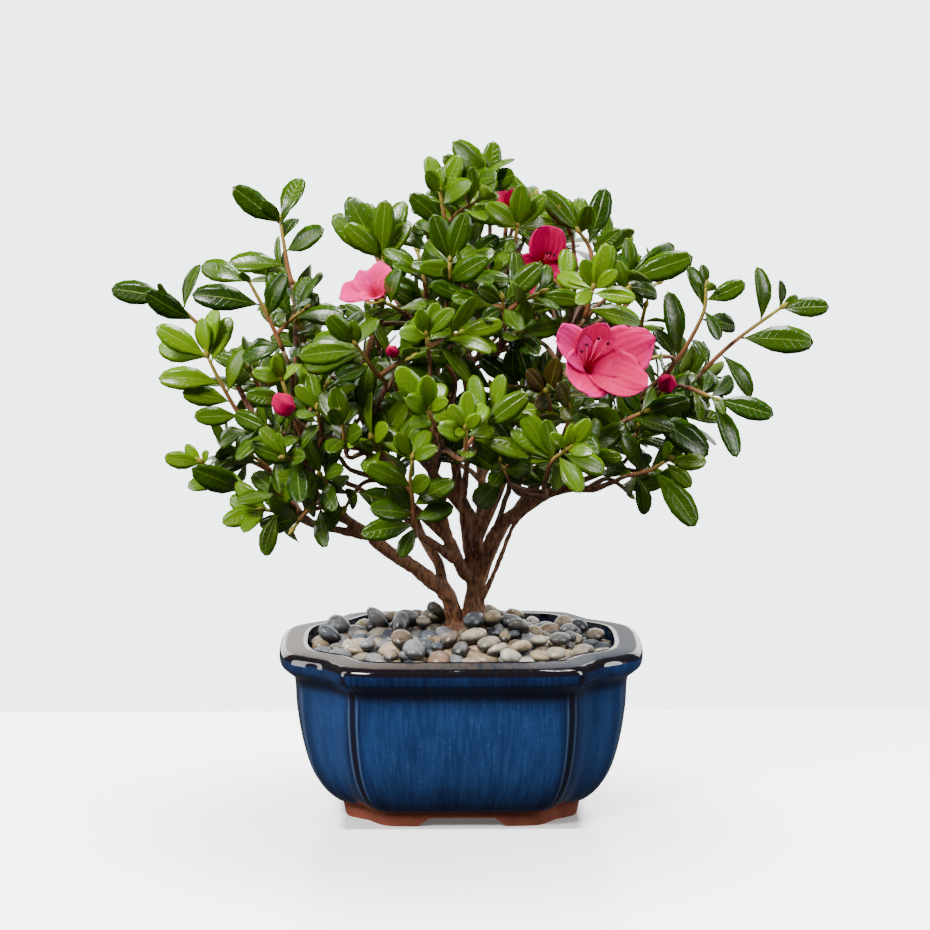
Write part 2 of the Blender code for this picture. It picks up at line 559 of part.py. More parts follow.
def grown_from(root, heading):
    """The place on a limb from which a twig to this root grows: near, below and pointing its way."""
    best = (1e9, None, None, None)
    for points, start_radius, end_radius in LIMBS[2:]:
        points = np.array(points, float)
        for k in range(len(points) - 1):
            step = points[k + 1] - points[k]
            for share in (0.0, 0.25, 0.5, 0.75, 1.0):
                spot = points[k] + step * share
                away = root - spot
                reach = np.linalg.norm(away)
                if reach < 5.0:
                    continue
                along = (k + share) / (len(points) - 1)
                radius = start_radius + (end_radius - start_radius) * along
                cost = reach * (2.2 - away @ unit(step) / reach - 0.7 * (away @ heading) / reach)
                if cost < best[0]:
                    best = (cost, spot, unit(step), radius)
    return best[1:]


def twig(root, heading):
    """A twig from its limb to the foot of a shoot, ending square to the shoot."""
    root = np.asarray(root, float)
    spot, limb_way, limb_radius = grown_from(root, heading)
    end = root - heading * GAP / 2
    away = end - spot
    reach = np.linalg.norm(away)
    start_way = unit(limb_way + away / reach) * reach
    points = []
    for s in (0, 0.55, 1) if reach < TWIG_LONG else (0, 0.35, 0.7, 1):
        near = 2 * s ** 3 - 3 * s ** 2 + 1
        bend = (s ** 3 - 2 * s ** 2 + s) * start_way + (s ** 3 - s ** 2) * heading * reach
        points.append(near * spot + (1 - near) * end + bend)
    return tube(points, min(limb_radius * 0.85, 1.7), TWIG_RADIUS, 3, heading)


def build_wood(roots):
    """Root crown, stems, limbs and a twig to each root of a shoot, bloom or bud, all one solid."""
    levels = []
    for height, radius_x, radius_y in CROWN:
        outline = ellipse(CROWN_CENTRE, (radius_x, radius_y), 10)
        levels.append(np.column_stack((outline, np.full(10, height))))
    wood = make_object("wood", loft(levels), make_material("bark", BARK_BROWN, 0.7))
    rods = [tube(points, start, end, 5 if start > THIN_LIMB else 4) for points, start, end in LIMBS]
    rods += [twig(root, heading) for root, heading in roots]
    return combine(wood, rods, "UNION")


def leaf_width(length):
    share = np.interp(length, (LEAF_SHORT[0], LEAF_LONG[0]), (LEAF_SHORT[1], LEAF_LONG[1]))
    return length * share


def blade(root, tip, upper, width, thickness, extra=0.0):
    """A leaf: a four-cornered blade, arched across its widest part, its two faces split alike.

    The outline runs root, right, tip, left. upper is the way its upper face looks.
    """
    along = tip - root
    length = np.linalg.norm(along)
    along = along / length
    upper = unit(upper - along * (upper @ along))
    across = np.cross(along, upper)
    plan = np.array(((0, 0, 0), (0.56, 0.5, 0.07), (1, 0, 0), (0.56, -0.5, 0.07)))
    middle = root + np.outer(plan[:, 0] * length, along) + np.outer(plan[:, 2] * length, upper)
    middle += np.outer(plan[:, 1] * (width + extra), across)
    half = (thickness + extra) / 2
    points = np.vstack((middle + upper * half, middle - upper * half))
    return points, LEAF_FACES


def two_faced(upper_faces, corners, points):
    """Faces of a plate: its upper faces, the same underneath, and a rim round its corners."""
    faces = list(upper_faces)
    faces += [tuple(point + points for point in face[::-1]) for face in upper_faces]
    for k in range(corners):
        other = (k + 1) % corners
        faces.append((k, k + points, other + points, other))
    return faces


LEAF_FACES = two_faced(((0, 1, 3), (1, 2, 3)), 4, 4)
PETAL_FACES = two_faced(((0, 1, 6), (1, 2, 6), (2, 3, 6), (3, 4, 6), (4, 5, 6), (5, 0, 6)), 6, 7)


def upper_way(axis, root, along):
    """The way a leaf's upper face looks: partly along its shoot, up, and out of the crown."""
    outward = unit((root[0], root[1] - CROWN_BACK, 0.0))
    want = 0.45 * axis + 0.9 * outward + np.array((0.0, 0.0, 0.3))
    if np.linalg.norm(np.cross(want, along)) < 0.25:
        want = want + np.array((0.4, 0.0, 0.6))
    return want


def path_place(points, share):
    """Place and heading at a share of the way along a path, kept off its lower end."""
    points = np.asarray(points, float)
    steps = np.linalg.norm(np.diff(points, axis=0), axis=1)
    total = steps.sum()
    reach = min(max(share * total, LEAF_ROOT_CLEAR), total - 0.8)
    k = int(np.searchsorted(np.cumsum(steps), reach))
    start = np.cumsum(steps)[k] - steps[k]
    way = (points[k + 1] - points[k]) / steps[k]
    return points[k] + way * (reach - start), way


def rule_leaves(stem, number, draw):
    """Leaves round a stem by the golden angle: spread low down, upright and shorter at the tip."""
    stem = np.asarray(stem, float)
    _, normals = frames(stem)
    start = draw.uniform(0, 2 * math.pi)
    rows = []
    for k in range(number):
        share = 0.35 + 0.65 * (k + 0.5) / number
        spot, way = path_place(stem, share)
        angle = start + k * GOLDEN_ANGLE
        side = math.cos(angle) * normals[0][0] + math.sin(angle) * normals[0][1]
        spread = math.radians(78 - 38 * k / number + draw.uniform(-6, 6))
        length = 27 - 9 * k / number + draw.uniform(-1.5, 1.5)
        way = unit(math.cos(spread) * way + math.sin(spread) * side + np.array((0, 0, 0.12)))
        rows.append((share, *(spot + way * length)))
    return rows


def tree_of(shape):
    return BVHTree.FromPolygons([Vector(p) for p in shape[0]], shape[1])


def crosses(shape, obstacles):
    """Whether a shape meets any obstacle, each a (tree, lowest, highest) triple."""
    low = shape[0].min(axis=0)
    high = shape[0].max(axis=0)
    tree = None
    for other, other_low, other_high in obstacles:
        if (low > other_high).any() or (high < other_low).any():
            continue
        tree = tree or tree_of(shape)
        if tree.overlap(other):
            return True
    return False


def obstacle(shape):
    return tree_of(shape), shape[0].min(axis=0), shape[0].max(axis=0)


def mesh_shape(thing):
    points = np.array([vertex.co for vertex in thing.data.vertices]) / MM
    return points, [tuple(face.vertices) for face in thing.data.polygons]


# degrees round the shoot and degrees of lift, in the order in which a leaf tries them
LEAF_TURNS = (
    (0, 0), (0, 12), (12, 0), (-12, 0), (0, -12), (24, 0), (-24, 0), (0, 24), (24, 18), (-24, 18),
    (36, 0), (-36, 0), (0, -24), (36, 24), (-36, 24), (50, 10), (-50, 10),
)


def free_leaf(root, tip, axis, obstacles):
    """The leaf, turned no further than it must be to clear what is already there, or None."""
    reach = tip - root
    across = np.cross(reach, axis)
    if np.linalg.norm(across) < 1e-3:
        across = np.cross(reach, (1, 0, 0))
    across = unit(across)
    for round_axis, lift in LEAF_TURNS:
        turn = Matrix.Rotation(math.radians(lift), 3, Vector(across))
        turn = Matrix.Rotation(math.radians(round_axis), 3, Vector(axis)) @ turn
        along = np.array(turn @ Vector(reach))
        upper = upper_way(axis, root, unit(along))
        length = np.linalg.norm(along)
        trial = blade(root, root + along, upper, leaf_width(length), LEAF_THICKNESS, 0.8)
        if not crosses(trial, obstacles):
            return blade(root, root + along, upper, leaf_width(length), LEAF_THICKNESS)
    return None


def petal(root, tip, upper, width, wave, extra=0.0):
    """A petal: a broad blade with a waved edge, cupped, its two faces split alike."""
    along = tip - root
    length = np.linalg.norm(along)
    along = along / length
    upper = unit(upper - along * (upper @ along))
    across = np.cross(along, upper)
    plan = np.array(((0, 0, 0), (0.55, 0.46, 0.12), (0.88, 0.4, 0.04 + 0.06 * wave), (1, 0, -0.02),
                     (0.88, -0.4, 0.04 - 0.04 * wave), (0.55, -0.46, 0.15), (0.55, 0, 0.08)))
    middle = root + np.outer(plan[:, 0] * length, along) + np.outer(plan[:, 2] * length, upper)
    middle += np.outer(plan[:, 1] * (width + extra), across)
    half = (PETAL_THICKNESS + extra) / 2
    return np.vstack((middle + upper * half, middle - upper * half)), PETAL_FACES


def bloom_shapes(foot, facing, stamens, petals):
    """A bloom: stalk and throat turned as one, its petals round it, and its stamens."""
    axis = unit(facing)
    foot = np.asarray(foot, float)
    a = unit(np.cross((0, 0, 1), axis))
    b = np.cross(axis, a)
    size = petals[0][1]
    stations = (GAP / 2, size * 0.14, size * 0.22, size * 0.38)
    angle = np.arange(5) * 2 * math.pi / 5
    rings = []
    for station, radius in zip(stations, (1.2, 1.2, size * 0.07, size * 0.12)):
        ring = np.outer(np.cos(angle), a) + np.outer(np.sin(angle), b)
        rings.append(foot + axis * station + radius * ring)
    shapes = [loft(rings)]
    for number, (turn, length, width, spread) in enumerate(petals):
        turn = math.radians(turn)
        out = math.cos(turn) * a + math.sin(turn) * b
        root = foot + axis * size * 0.31 + out * size * 0.05
        leans = np.radians((THROAT_LEAN, (THROAT_LEAN + spread) / 2, spread))
        stretches = np.array(PETAL_STRETCHES) * length
        tip = foot + axis * (2 + np.cos(leans) @ stretches) + out * (1.3 + np.sin(leans) @ stretches)
        along = unit(tip - root)
        upper = (along @ out) * axis - (along @ axis) * out
        shapes.append(petal(root, tip, upper, width, 1 if number % 2 else -1))
    for number in range(stamens):
        turn = math.radians(100 + 40 * (number - (stamens - 1) / 2))
        out = math.cos(turn) * a + math.sin(turn) * b
        base = foot + axis * size * 0.34
        shapes.append(tube([base, base + axis * size * 0.62 + out * size * 0.3], 0.5, 0.6, 3))
    return shapes


def build_bloom(name, foot, facing, stamens, petals, material):
    shapes = bloom_shapes(foot, facing, stamens, petals)
    return combine(make_object(name, shapes[0], material), shapes[1:], "UNION")


def build_bud(name, foot, facing, length, width, material):
    """A bud: a six-sided spindle on a short stalk."""
    facing = unit(facing)
    foot = np.asarray(foot, float)
    stations = (GAP / 2, 2.5, 4.0, 4.0 + length * 0.4, 4.0 + length * 0.75, 4.0 + length)
    radii = (1.2, 1.2, width * 0.3, width * 0.5, width * 0.36, width * 0.1)
    path = [foot + facing * station for station in stations]
    _, normals = frames(path)
    a, b = normals[0]
    angle = np.arange(6) * 2 * math.pi / 6
    rings = []
    for point, radius in zip(path, radii):
        rings.append(point + radius * (np.outer(np.cos(angle), a) + np.outer(np.sin(angle), b)))
    return make_object(name, loft(rings), material)


def stem_of(stem):
    """A shoot's own stem, its foot held clear of its twig."""
    stem = np.array(stem, float)
    heading = unit(stem[1] - stem[0])
    stem[0] = stem[0] + heading * GAP / 2
    return tube(stem, *SHOOT_RADIUS, 4)


def all_shoots():
    """Name, stem and leaf rows of every shoot, the hand-placed ones first."""
    shoots = [("shoot_" + name, stem, rows) for name, stem, rows in FRONT_SHOOTS]
    draw = random.Random(5)
    for number, (root, tip) in enumerate(BACK_SHOOTS, 1):
        root, tip = np.array(root, float), np.array(tip, float)
        bend = (root + tip) / 2 + np.array((0, 0, 1.5))
        stem = (root, bend, tip)
        shoots.append(("shoot_back_%02d" % number, stem, rule_leaves(stem, BACK_LEAVES, draw)))
    return shoots


def all_forks():
    """The side shoots of each shoot, by its name: stem and leaf rows."""
    draw = random.Random(7)
    forks = {}
    for name, root, tip in FORKS:
        stem = (np.array(root, float), np.array(tip, float))
        forks.setdefault("shoot_" + name, []).append((stem, rule_leaves(stem, FORK_LEAVES, draw)))
    return forks


def build_plant():
    shoots = all_shoots()
    roots = []
    for _, stem, _ in shoots:
        roots.append((stem[0], unit(np.subtract(stem[1], stem[0]))))
    for _, foot, facing, *_ in BLOOMS + BUDS:
        roots.append((foot, unit(facing)))
    wood = build_wood(roots)
    pink = make_material("petal", PETAL_PINK, 0.5)
    fixed = [wood]
    fixed += [build_bloom(*bloom, pink) for bloom in BLOOMS]
    fixed += [build_bud(*bud, pink) for bud in BUDS]
    fixed = [obstacle(mesh_shape(thing)) for thing in fixed]
    green = make_material("leaf", LEAF_GREEN, 0.35)
    forks = all_forks()
    stems = []
    for name, stem, _ in shoots:
        stems.append([stem_of(stem)] + [tube(fork, *FORK_RADIUS, 3) for fork, _ in forks.get(name, [])])
    walls = [[obstacle(shape) for shape in shapes] for shapes in stems]
    grown = []
    for number, (name, stem, rows) in enumerate(shoots):
        others = fixed + grown + [wall for other in walls[:number] + walls[number + 1:] for wall in other]
        leaves = []
        for path, leaf_rows in [(stem, rows)] + forks.get(name, []):
            for share, *tip in leaf_rows:
                root, axis = path_place(path, share)
                if np.linalg.norm(tip - root) < LEAF_SMALLEST:
                    continue
                leaf = free_leaf(root, np.array(tip, float), axis, others)
                if leaf:
                    leaves.append(leaf)
        combine(make_object(name, stems[number][0], green), stems[number][1:] + leaves, "UNION")
        grown += [obstacle(leaf) for leaf in leaves]


def centre_on_plan():
    """Put the middle of the whole plant's plan over the origin."""
    corners = np.array([vertex.co for thing in bpy.data.objects for vertex in thing.data.vertices])
    middle = (corners.min(axis=0) + corners.max(axis=0)) / 2
    for thing in bpy.data.objects:
        thing.location = (-middle[0], -middle[1], 0)


clear_scene()
build_pot()
build_screens()
build_soil()
build_gravel()
build_plant()
centre_on_plan()
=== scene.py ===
"""Azalea bonsai in a lobed, glazed pot, with its studio and its camera.

The sections follow the tree as it is put together: pot, screens and soil, pebbles, wood, twigs,
blooms, buds, leafy shoots. Sizes are in millimetres from the middle of the pot's foot, and become
metres when a mesh is made. The view from the front looks along +Y.
"""
import math
import random

import bmesh
import bpy
import numpy as np
from mathutils import Matrix, Vector
from mathutils.bvhtree import BVHTree
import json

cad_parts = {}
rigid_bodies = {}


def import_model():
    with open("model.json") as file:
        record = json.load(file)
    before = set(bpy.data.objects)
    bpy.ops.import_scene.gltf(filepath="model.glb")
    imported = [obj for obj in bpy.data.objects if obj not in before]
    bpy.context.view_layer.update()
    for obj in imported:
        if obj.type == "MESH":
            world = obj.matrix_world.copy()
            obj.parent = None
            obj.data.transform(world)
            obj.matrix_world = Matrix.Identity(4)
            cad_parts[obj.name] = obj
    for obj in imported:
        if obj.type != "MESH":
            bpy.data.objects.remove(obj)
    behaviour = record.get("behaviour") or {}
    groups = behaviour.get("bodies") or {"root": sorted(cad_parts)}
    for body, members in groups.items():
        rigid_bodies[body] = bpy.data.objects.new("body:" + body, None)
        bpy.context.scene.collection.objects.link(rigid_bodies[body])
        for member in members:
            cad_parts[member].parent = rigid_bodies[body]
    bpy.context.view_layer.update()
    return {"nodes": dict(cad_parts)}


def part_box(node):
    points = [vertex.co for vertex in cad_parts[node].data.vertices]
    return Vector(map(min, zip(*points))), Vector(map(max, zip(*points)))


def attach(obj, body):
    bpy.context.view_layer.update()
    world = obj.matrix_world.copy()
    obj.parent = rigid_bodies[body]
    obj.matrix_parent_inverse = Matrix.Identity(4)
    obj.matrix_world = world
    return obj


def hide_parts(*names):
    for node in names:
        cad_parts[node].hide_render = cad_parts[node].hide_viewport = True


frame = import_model()

# Studio
# A pale table top that ends behind the tree, a plain backdrop, and five soft lamps. The camera
# stands a little to the left, looks slightly down and has a long lens.
MM = 0.001
POT_PLACE = (np.array(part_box("pot")[0]) + np.array(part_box("pot")[1])) / 2 * (1, 1, 0)
CAMERA = (-15.8, -1332.4, 374.2)
CAMERA_AIM = (1.8, 0.0, 151.4)
LENS = 119.06
SENSOR = 36.0
FAR_CLIP = 20.0
TABLE = ((-2600.0, -2600.0), (2600.0, 162.0))
TABLE_WHITE = (0.82, 0.82, 0.82)
TABLE_GLOW = 3.3
TABLE_LIGHT = (0.97, 1.0, 1.0)
# colour of the table's own light where the painted shadow is darkest
TABLE_PAINTED_SHADOW = (0.03, 0.03, 0.03)
# painted shadow under the pot: outer and inner edge along x and along y, in metres from its middle
PAINTED_SHADOW_UNDER_POT = ((0.056, 0.046), (0.05, 0.045))
# faint oval of painted shadow and reflection round the pot: how steeply it fades along x and along y, and how far
# forward it lies
PAINTED_SHADE_ROUND_POT = (36.0, 40.0, 0.05)
BACKDROP = (4.0, 4.4, 4.45)
AMBIENT = 0.14
MIRRORED_AMBIENT = 0.07
WHITE = (1.0, 1.0, 1.0)
# each lamp: name, place, what it faces, its two sides in metres, watts and colour
LAMPS = (
    ("key_lamp", (-600, -800, 1100), (0, 0, 160), (0.4, 0.4), 36.0, (1.0, 0.985, 0.95)),
    ("top_lamp", (250, 250, 1300), (0, 0, 180), (0.5, 0.4), 26.0, (1.0, 1.0, 0.98)),
    ("left_lamp", (-1100, -150, 420), (0, 0, 120), (0.35, 1.0), 8.0, WHITE),
    ("right_lamp", (1100, -300, 520), (0, 0, 130), (0.3, 0.9), 10.0, (0.98, 0.99, 1.0)),
    ("back_lamp", (0, 1500, 520), (0, 0, 380), (3.2, 1.0), 26.0, WHITE),
)


def in_metres(points):
    """Points in millimetres from the pot's middle, as points in the row frame."""
    return np.asarray(points, float) * MM + POT_PLACE


def unit(vector):
    vector = np.asarray(vector, float)
    return vector / np.linalg.norm(vector)


def aimed(place, target):
    """Matrix of a thing at place whose -Z axis looks at target."""
    place, target = Vector(in_metres(place)), Vector(in_metres(target))
    turn = (target - place).to_track_quat("-Z", "Y")
    return Matrix.Translation(place) @ turn.to_matrix().to_4x4()


def show(name, data):
    """An object with this data, in the scene."""
    thing = bpy.data.objects.new(name, data)
    bpy.context.scene.collection.objects.link(thing)
    return thing


def soft_lamp(name, place, target, size, watts, colour):
    lamp = bpy.data.lights.new(name, "AREA")
    lamp.shape = "RECTANGLE"
    lamp.size, lamp.size_y = size
    lamp.energy = watts
    lamp.color = colour
    thing = show(name, lamp)
    thing.matrix_world = aimed(place, target)
    thing.visible_camera = False


class Value:
    """A socket of a node: arithmetic on it adds Math nodes."""

    def __init__(self, finish, socket):
        self.finish = finish
        self.socket = socket

    def math(self, operation, *values):
        return self.finish.node("ShaderNodeMath", {"operation": operation}, dict(enumerate(values)))

    def __add__(self, other):
        return self.math("ADD", self, other)

    def __sub__(self, other):
        return self.math("SUBTRACT", self, other)

    def __rsub__(self, other):
        return self.math("SUBTRACT", other, self)

    def __mul__(self, other):
        return self.math("MULTIPLY", self, other)

    __radd__ = __add__
    __rmul__ = __mul__

    def sine(self):
        return self.math("SINE", self)

    def size(self):
        return self.math("ABSOLUTE", self)

    def step(self, low, high):
        """0 below low and 1 above high, with a smooth change between; falls if low is above high."""
        values = {"Value": self, "From Min": low, "From Max": high}
        return self.finish.node("ShaderNodeMapRange", {"interpolation_type": "SMOOTHSTEP"}, values)


class Finish:
    """A material under construction, on one Principled shader."""

    def __init__(self, name, **uniform):
        self.material = bpy.data.materials.new(name)
        self.material.use_nodes = True
        self.tree = self.material.node_tree
        self.shader = self.tree.nodes["Principled BSDF"]
        for socket, value in uniform.items():
            self.shader.inputs[socket.replace("_", " ")].default_value = value

    def node(self, kind, settings, inputs, output=0):
        """Adds a node: its settings are set first, then its sockets' values or links."""
        node = self.tree.nodes.new(kind)
        for key, value in settings.items():
            if key == "stops":
                ramp = node.color_ramp
                while len(ramp.elements) < len(value):
                    ramp.elements.new(0.5)
                for element, (place, colour) in zip(ramp.elements, value):
                    element.position = place
                    element.color = (*colour, 1.0)
            else:
                setattr(node, key, value)
        for key, value in inputs.items():
            if isinstance(value, Value):
                self.tree.links.new(value.socket, node.inputs[key])
            elif node.inputs[key].type == "RGBA" and len(value) == 3:
                node.inputs[key].default_value = (*value, 1.0)
            else:
                node.inputs[key].default_value = value
        return Value(self, node.outputs[output])

    def place(self):
        return self.node("ShaderNodeTexCoord", {}, {}, "Object")

    def attribute(self, name):
        return self.node("ShaderNodeAttribute", {"attribute_name": name}, {}, "Fac")

    def part(self, vector, axis):
        return self.node("ShaderNodeSeparateXYZ", {}, {0: vector}, axis)

    def stretched(self, vector, scale):
        return self.node("ShaderNodeVectorMath", {"operation": "MULTIPLY"}, {0: vector, 1: scale})

    def noise(self, vector, scale, detail=3.0, roughness=0.55, distortion=0.0):
        values = {"Vector": vector, "Scale": scale, "Detail": detail, "Roughness": roughness,
                  "Distortion": distortion}
        return self.node("ShaderNodeTexNoise", {}, values)

    def blend(self, share, first, second):
        """Colour: first where share is 0 and second where it is 1."""
        return self.node("ShaderNodeMix", {"data_type": "RGBA"}, {0: share, 6: first, 7: second}, 2)

    def bump(self, height, strength, distance):
        return self.node("ShaderNodeBump", {}, {"Strength": strength, "Distance": distance, "Height": height})

    def feed(self, **links):
        for socket, value in links.items():
            self.tree.links.new(value.socket, self.shader.inputs[socket.replace("_", " ")])
        return self.material


def table_top():
    """White lacquer that shines with an even light of its own, dimmed to nothing under the pot by a painted
    shadow and faintly round it by a painted shadow and reflection.
    """
    f = Finish("table", Base_Color=(*TABLE_WHITE, 1), Roughness=0.2, Emission_Strength=TABLE_GLOW)
    place = f.place()
    x, y = f.part(place, 0) - float(POT_PLACE[0]), f.part(place, 1) - float(POT_PLACE[1])
    # painted shadow: 1 under the pot's foot
    under = x.size().step(*PAINTED_SHADOW_UNDER_POT[0]) * y.size().step(*PAINTED_SHADOW_UNDER_POT[1])
    steep_x, steep_y, forward = PAINTED_SHADE_ROUND_POT
    # painted shadow and reflection: an oval round the pot, darkest at its middle a little in front of the pot
    near = (x * x * steep_x + (y + forward) * (y + forward) * steep_y).step(1.0, 0.0)
    return f.feed(Emission_Color=f.blend(under * 0.9 + near * 0.48, TABLE_LIGHT, TABLE_PAINTED_SHADOW))


def build_studio():
    camera = bpy.data.cameras.new("camera")
    camera.lens = LENS
    camera.sensor_width = SENSOR
    camera.clip_end = FAR_CLIP
    eye = show("camera", camera)
    eye.matrix_world = aimed(CAMERA, CAMERA_AIM)
    bpy.context.scene.camera = eye
    (left, front), (right, back) = TABLE
    mesh = bpy.data.meshes.new("table")
    corners = ((left, front, 0), (right, front, 0), (right, back, 0), (left, back, 0))
    mesh.from_pydata(in_metres(corners).tolist(), [], [(0, 1, 2, 3)])
    table = show("table", mesh)
    mesh.materials.append(table_top())
    table.visible_glossy = False
    table.visible_diffuse = False
    for lamp in LAMPS:
        soft_lamp(*lamp)
    world = bpy.data.worlds.new("studio")
    bpy.context.scene.world = world
    world.use_nodes = True
    nodes, links = world.node_tree.nodes, world.node_tree.links
    seen = nodes["Background"]
    seen.inputs["Color"].default_value = (*BACKDROP, 1)
    ray = nodes.new("ShaderNodeLightPath")
    last = seen
    for strength, kind in ((MIRRORED_AMBIENT, "Is Glossy Ray"), (AMBIENT, "Is Diffuse Ray")):
        around = nodes.new("ShaderNodeBackground")
        around.inputs["Strength"].default_value = strength
        around.inputs["Color"].default_value = (*WHITE, 1)
        either = nodes.new("ShaderNodeMixShader")
        links.new(ray.outputs[kind], either.inputs[0])
        links.new(last.outputs[0], either.inputs[1])
        links.new(around.outputs[0], either.inputs[2])
        last = either
    links.new(last.outputs[0], nodes["World Output"].inputs["Surface"])


build_studio()

# Pot
# A pressed stoneware bonsai pot: four lobes with hollow corners between them, a broad flat lip, a
# foot band of bare red clay and four corner feet. The blue glaze is streaked, and where it runs thin
# it is black on the upright edges and tan and black on the lip.
POT_HEIGHT = 74.0
LIP_WIDTH = 11.4
FOOT_HEIGHT = 4.0
FOOT_WIDTH = 8.0
# the gaps between the feet: width at the top and at the table, and how far the cut reaches
FRONT_CUT = (28.0, 38.0)
FRONT_REACH = 70.0
SIDE_CUT = (18.0, 27.0)
SIDE_REACH = 90.0
RECESS_HEIGHT = 4.6
DRAIN_RADIUS = 5.5
DRAIN_X = 24.0
FLOOR = 11.0
# height, half length and half depth up the outside, then down the inside
POT_OUTSIDE = (
    (0.0, 51.7, 44.0), (7.0, 53.4, 45.6), (7.6, 56.0, 47.4), (12.5, 61.6, 50.4), (21.0, 66.8, 53.0),
    (33.0, 70.4, 54.9), (47.0, 72.6, 56.0), (60.0, 73.6, 56.6), (64.0, 77.2, 59.3), (66.5, 79.7, 61.2),
    (70.8, 80.0, 61.5), (72.8, 78.5, 60.0), (73.8, 74.6, 56.1),
)
POT_INSIDE = (
    (POT_HEIGHT, 80.0 - LIP_WIDTH, 61.5 - LIP_WIDTH), (71.5, 67.8, 49.4), (46.0, 66.4, 48.8),
    (31.0, 63.6, 47.4), (20.0, 59.0, 44.6), (13.5, 51.0, 39.6), (FLOOR, 44.0, 33.6),
)
# a quarter of the plan as shares of half length and half depth: side lobe, hollow corner, front lobe
PLAN_RIM = (
    (1.0, 0.0), (0.993, 0.27), (0.955, 0.47), (0.86, 0.6), (0.755, 0.7), (0.69, 0.82), (0.632, 0.925),
    (0.545, 0.97), (0.38, 0.995), (0.0, 1.0),
)
PLAN_FOOT = (
    (1.0, 0.0), (0.995, 0.33), (0.965, 0.58), (0.88, 0.69), (0.79, 0.765), (0.735, 0.85), (0.67, 0.94),
    (0.59, 0.982), (0.4, 0.998), (0.0, 1.0),
)
# how far the glaze runs thin at each of those ten places of the plan; it also places the painted highlights
# beside the upright edges and the painted light on the lobes
PLAN_THIN = (0.0, 0.1, 0.75, 0.1, 0.0, 0.25, 1.0, 0.12, 0.0, 0.0)
AROUND_PARTS = 8
UP_PARTS = 5
LIP_CROWN = 0.25
LENGTH_AROUND = 560.0
SHARP_DEGREES = 40
DEEP_BLUE = (0.005, 0.012, 0.05)
MID_BLUE = (0.019, 0.06, 0.2)
# pale blue of flecks and of painted light
FLECK_AND_LIT_BLUE = (0.05, 0.13, 0.3)
# pale blue of the painted highlight beside the upright edges
EDGE_HIGHLIGHT_BLUE = (0.09, 0.15, 0.26)
# darker blue of the painted shade on the left end
SHADED_LEFT_END_BLUE = (0.02, 0.035, 0.07)
# black where the glaze runs thin, and of the painted shadow under the lip
THIN_GLAZE_AND_SHADOW_BLACK = (0.008, 0.005, 0.006)
LIP_TAN = (0.09, 0.07, 0.055)
LIP_BLUE = (0.02, 0.03, 0.05)
CLAY = (0.2, 0.052, 0.03)
CLAY_PALE = (0.27, 0.085, 0.05)
CLAY_DARK = (0.1, 0.028, 0.02)


def smooth_path(points, parts, closed=False):
    """Curve through points, with parts steps from each to the next.

    From p1 to p2 it is the cubic that leaves p1 along (p2 - p0) / 2 and reaches p2 along
    (p3 - p1) / 2.
    """
    points = np.asarray(points, float)
    if closed:
        rows = [np.roll(points, shift, axis=0) for shift in (1, 0, -1, -2)]
    else:
        padded = np.vstack((2 * points[0] - points[1], points, 2 * points[-1] - points[-2]))
        rows = [padded[k:len(padded) - 3 + k] for k in range(4)]
    p0, p1, p2, p3 = (row[:, None, :] for row in rows)
    t = (np.arange(parts) / parts)[None, :, None]
    curve = 0.5 * (2 * p1 + (p2 - p0) * t + (2 * p0 - 5 * p1 + 4 * p2 - p3) * t ** 2
                   + (3 * p1 - p0 - 3 * p2 + p3) * t ** 3)
    curve = curve.reshape(-1, points.shape[1])
    return curve if closed else np.vstack((curve, points[-1]))


def whole_plan(quarter):
    """A ring from its first quarter, mirrored to the other three; one column is only repeated."""
    quarter = np.asarray(quarter, float)
    over_y, over_x = ((-1, 1), (1, -1)) if quarter.shape[1] == 2 else (1, 1)
    half = np.vstack((quarter, quarter[-2::-1] * over_y))
    return np.vstack((half, half[-2:0:-1] * over_x))


def ring_faces(levels, around):
    """Quads between rings of points, each ring closed."""
    level, k = np.mgrid[0:levels - 1, 0:around]
    a = level * around + k
    b = level * around + (k + 1) % around
    return np.stack((a, b, b + around, a + around), axis=-1).reshape(-1, 4)


def closed_faces(levels, around):
    """The quads between rings, then one flat face over the first ring and one over the last."""
    last = (levels - 1) * around
    return ring_faces(levels, around).tolist() + [list(range(around))[::-1], list(range(last, last + around))]


def turns(count):
    """Angles of count equal steps round a circle."""
    return np.arange(count) * 2 * math.pi / count


def oval(centre, half_length, half_depth, turn):
    """Points round an oval in plan, at the angles in turn."""
    return np.column_stack((centre[0] + half_length * np.cos(turn), centre[1] + half_depth * np.sin(turn)))


def new_piece(name, points, faces, corner_uv=None, **attributes):
    """A smooth-shaded object from points in millimetres, with its UV map and point attributes."""
    mesh = bpy.data.meshes.new(name)
    mesh.from_pydata(in_metres(points).tolist(), [], faces)
    if corner_uv is not None:
        mesh.uv_layers.new(name="UVMap").data.foreach_set("uv", np.asarray(corner_uv, float).ravel())
    for key, values in attributes.items():
        spread = mesh.attributes.new(key, "FLOAT", "POINT")
        spread.data.foreach_set("value", np.asarray(values, float).ravel())
    mesh.shade_smooth()
    return show(name, mesh)


def bake_modifiers(thing):
    """The object's mesh as its modifiers leave it, and no modifiers."""
    view = bpy.context.evaluated_depsgraph_get()
    mesh = bpy.data.meshes.new_from_object(thing.evaluated_get(view))
    thing.modifiers.clear()
    thing.data = mesh


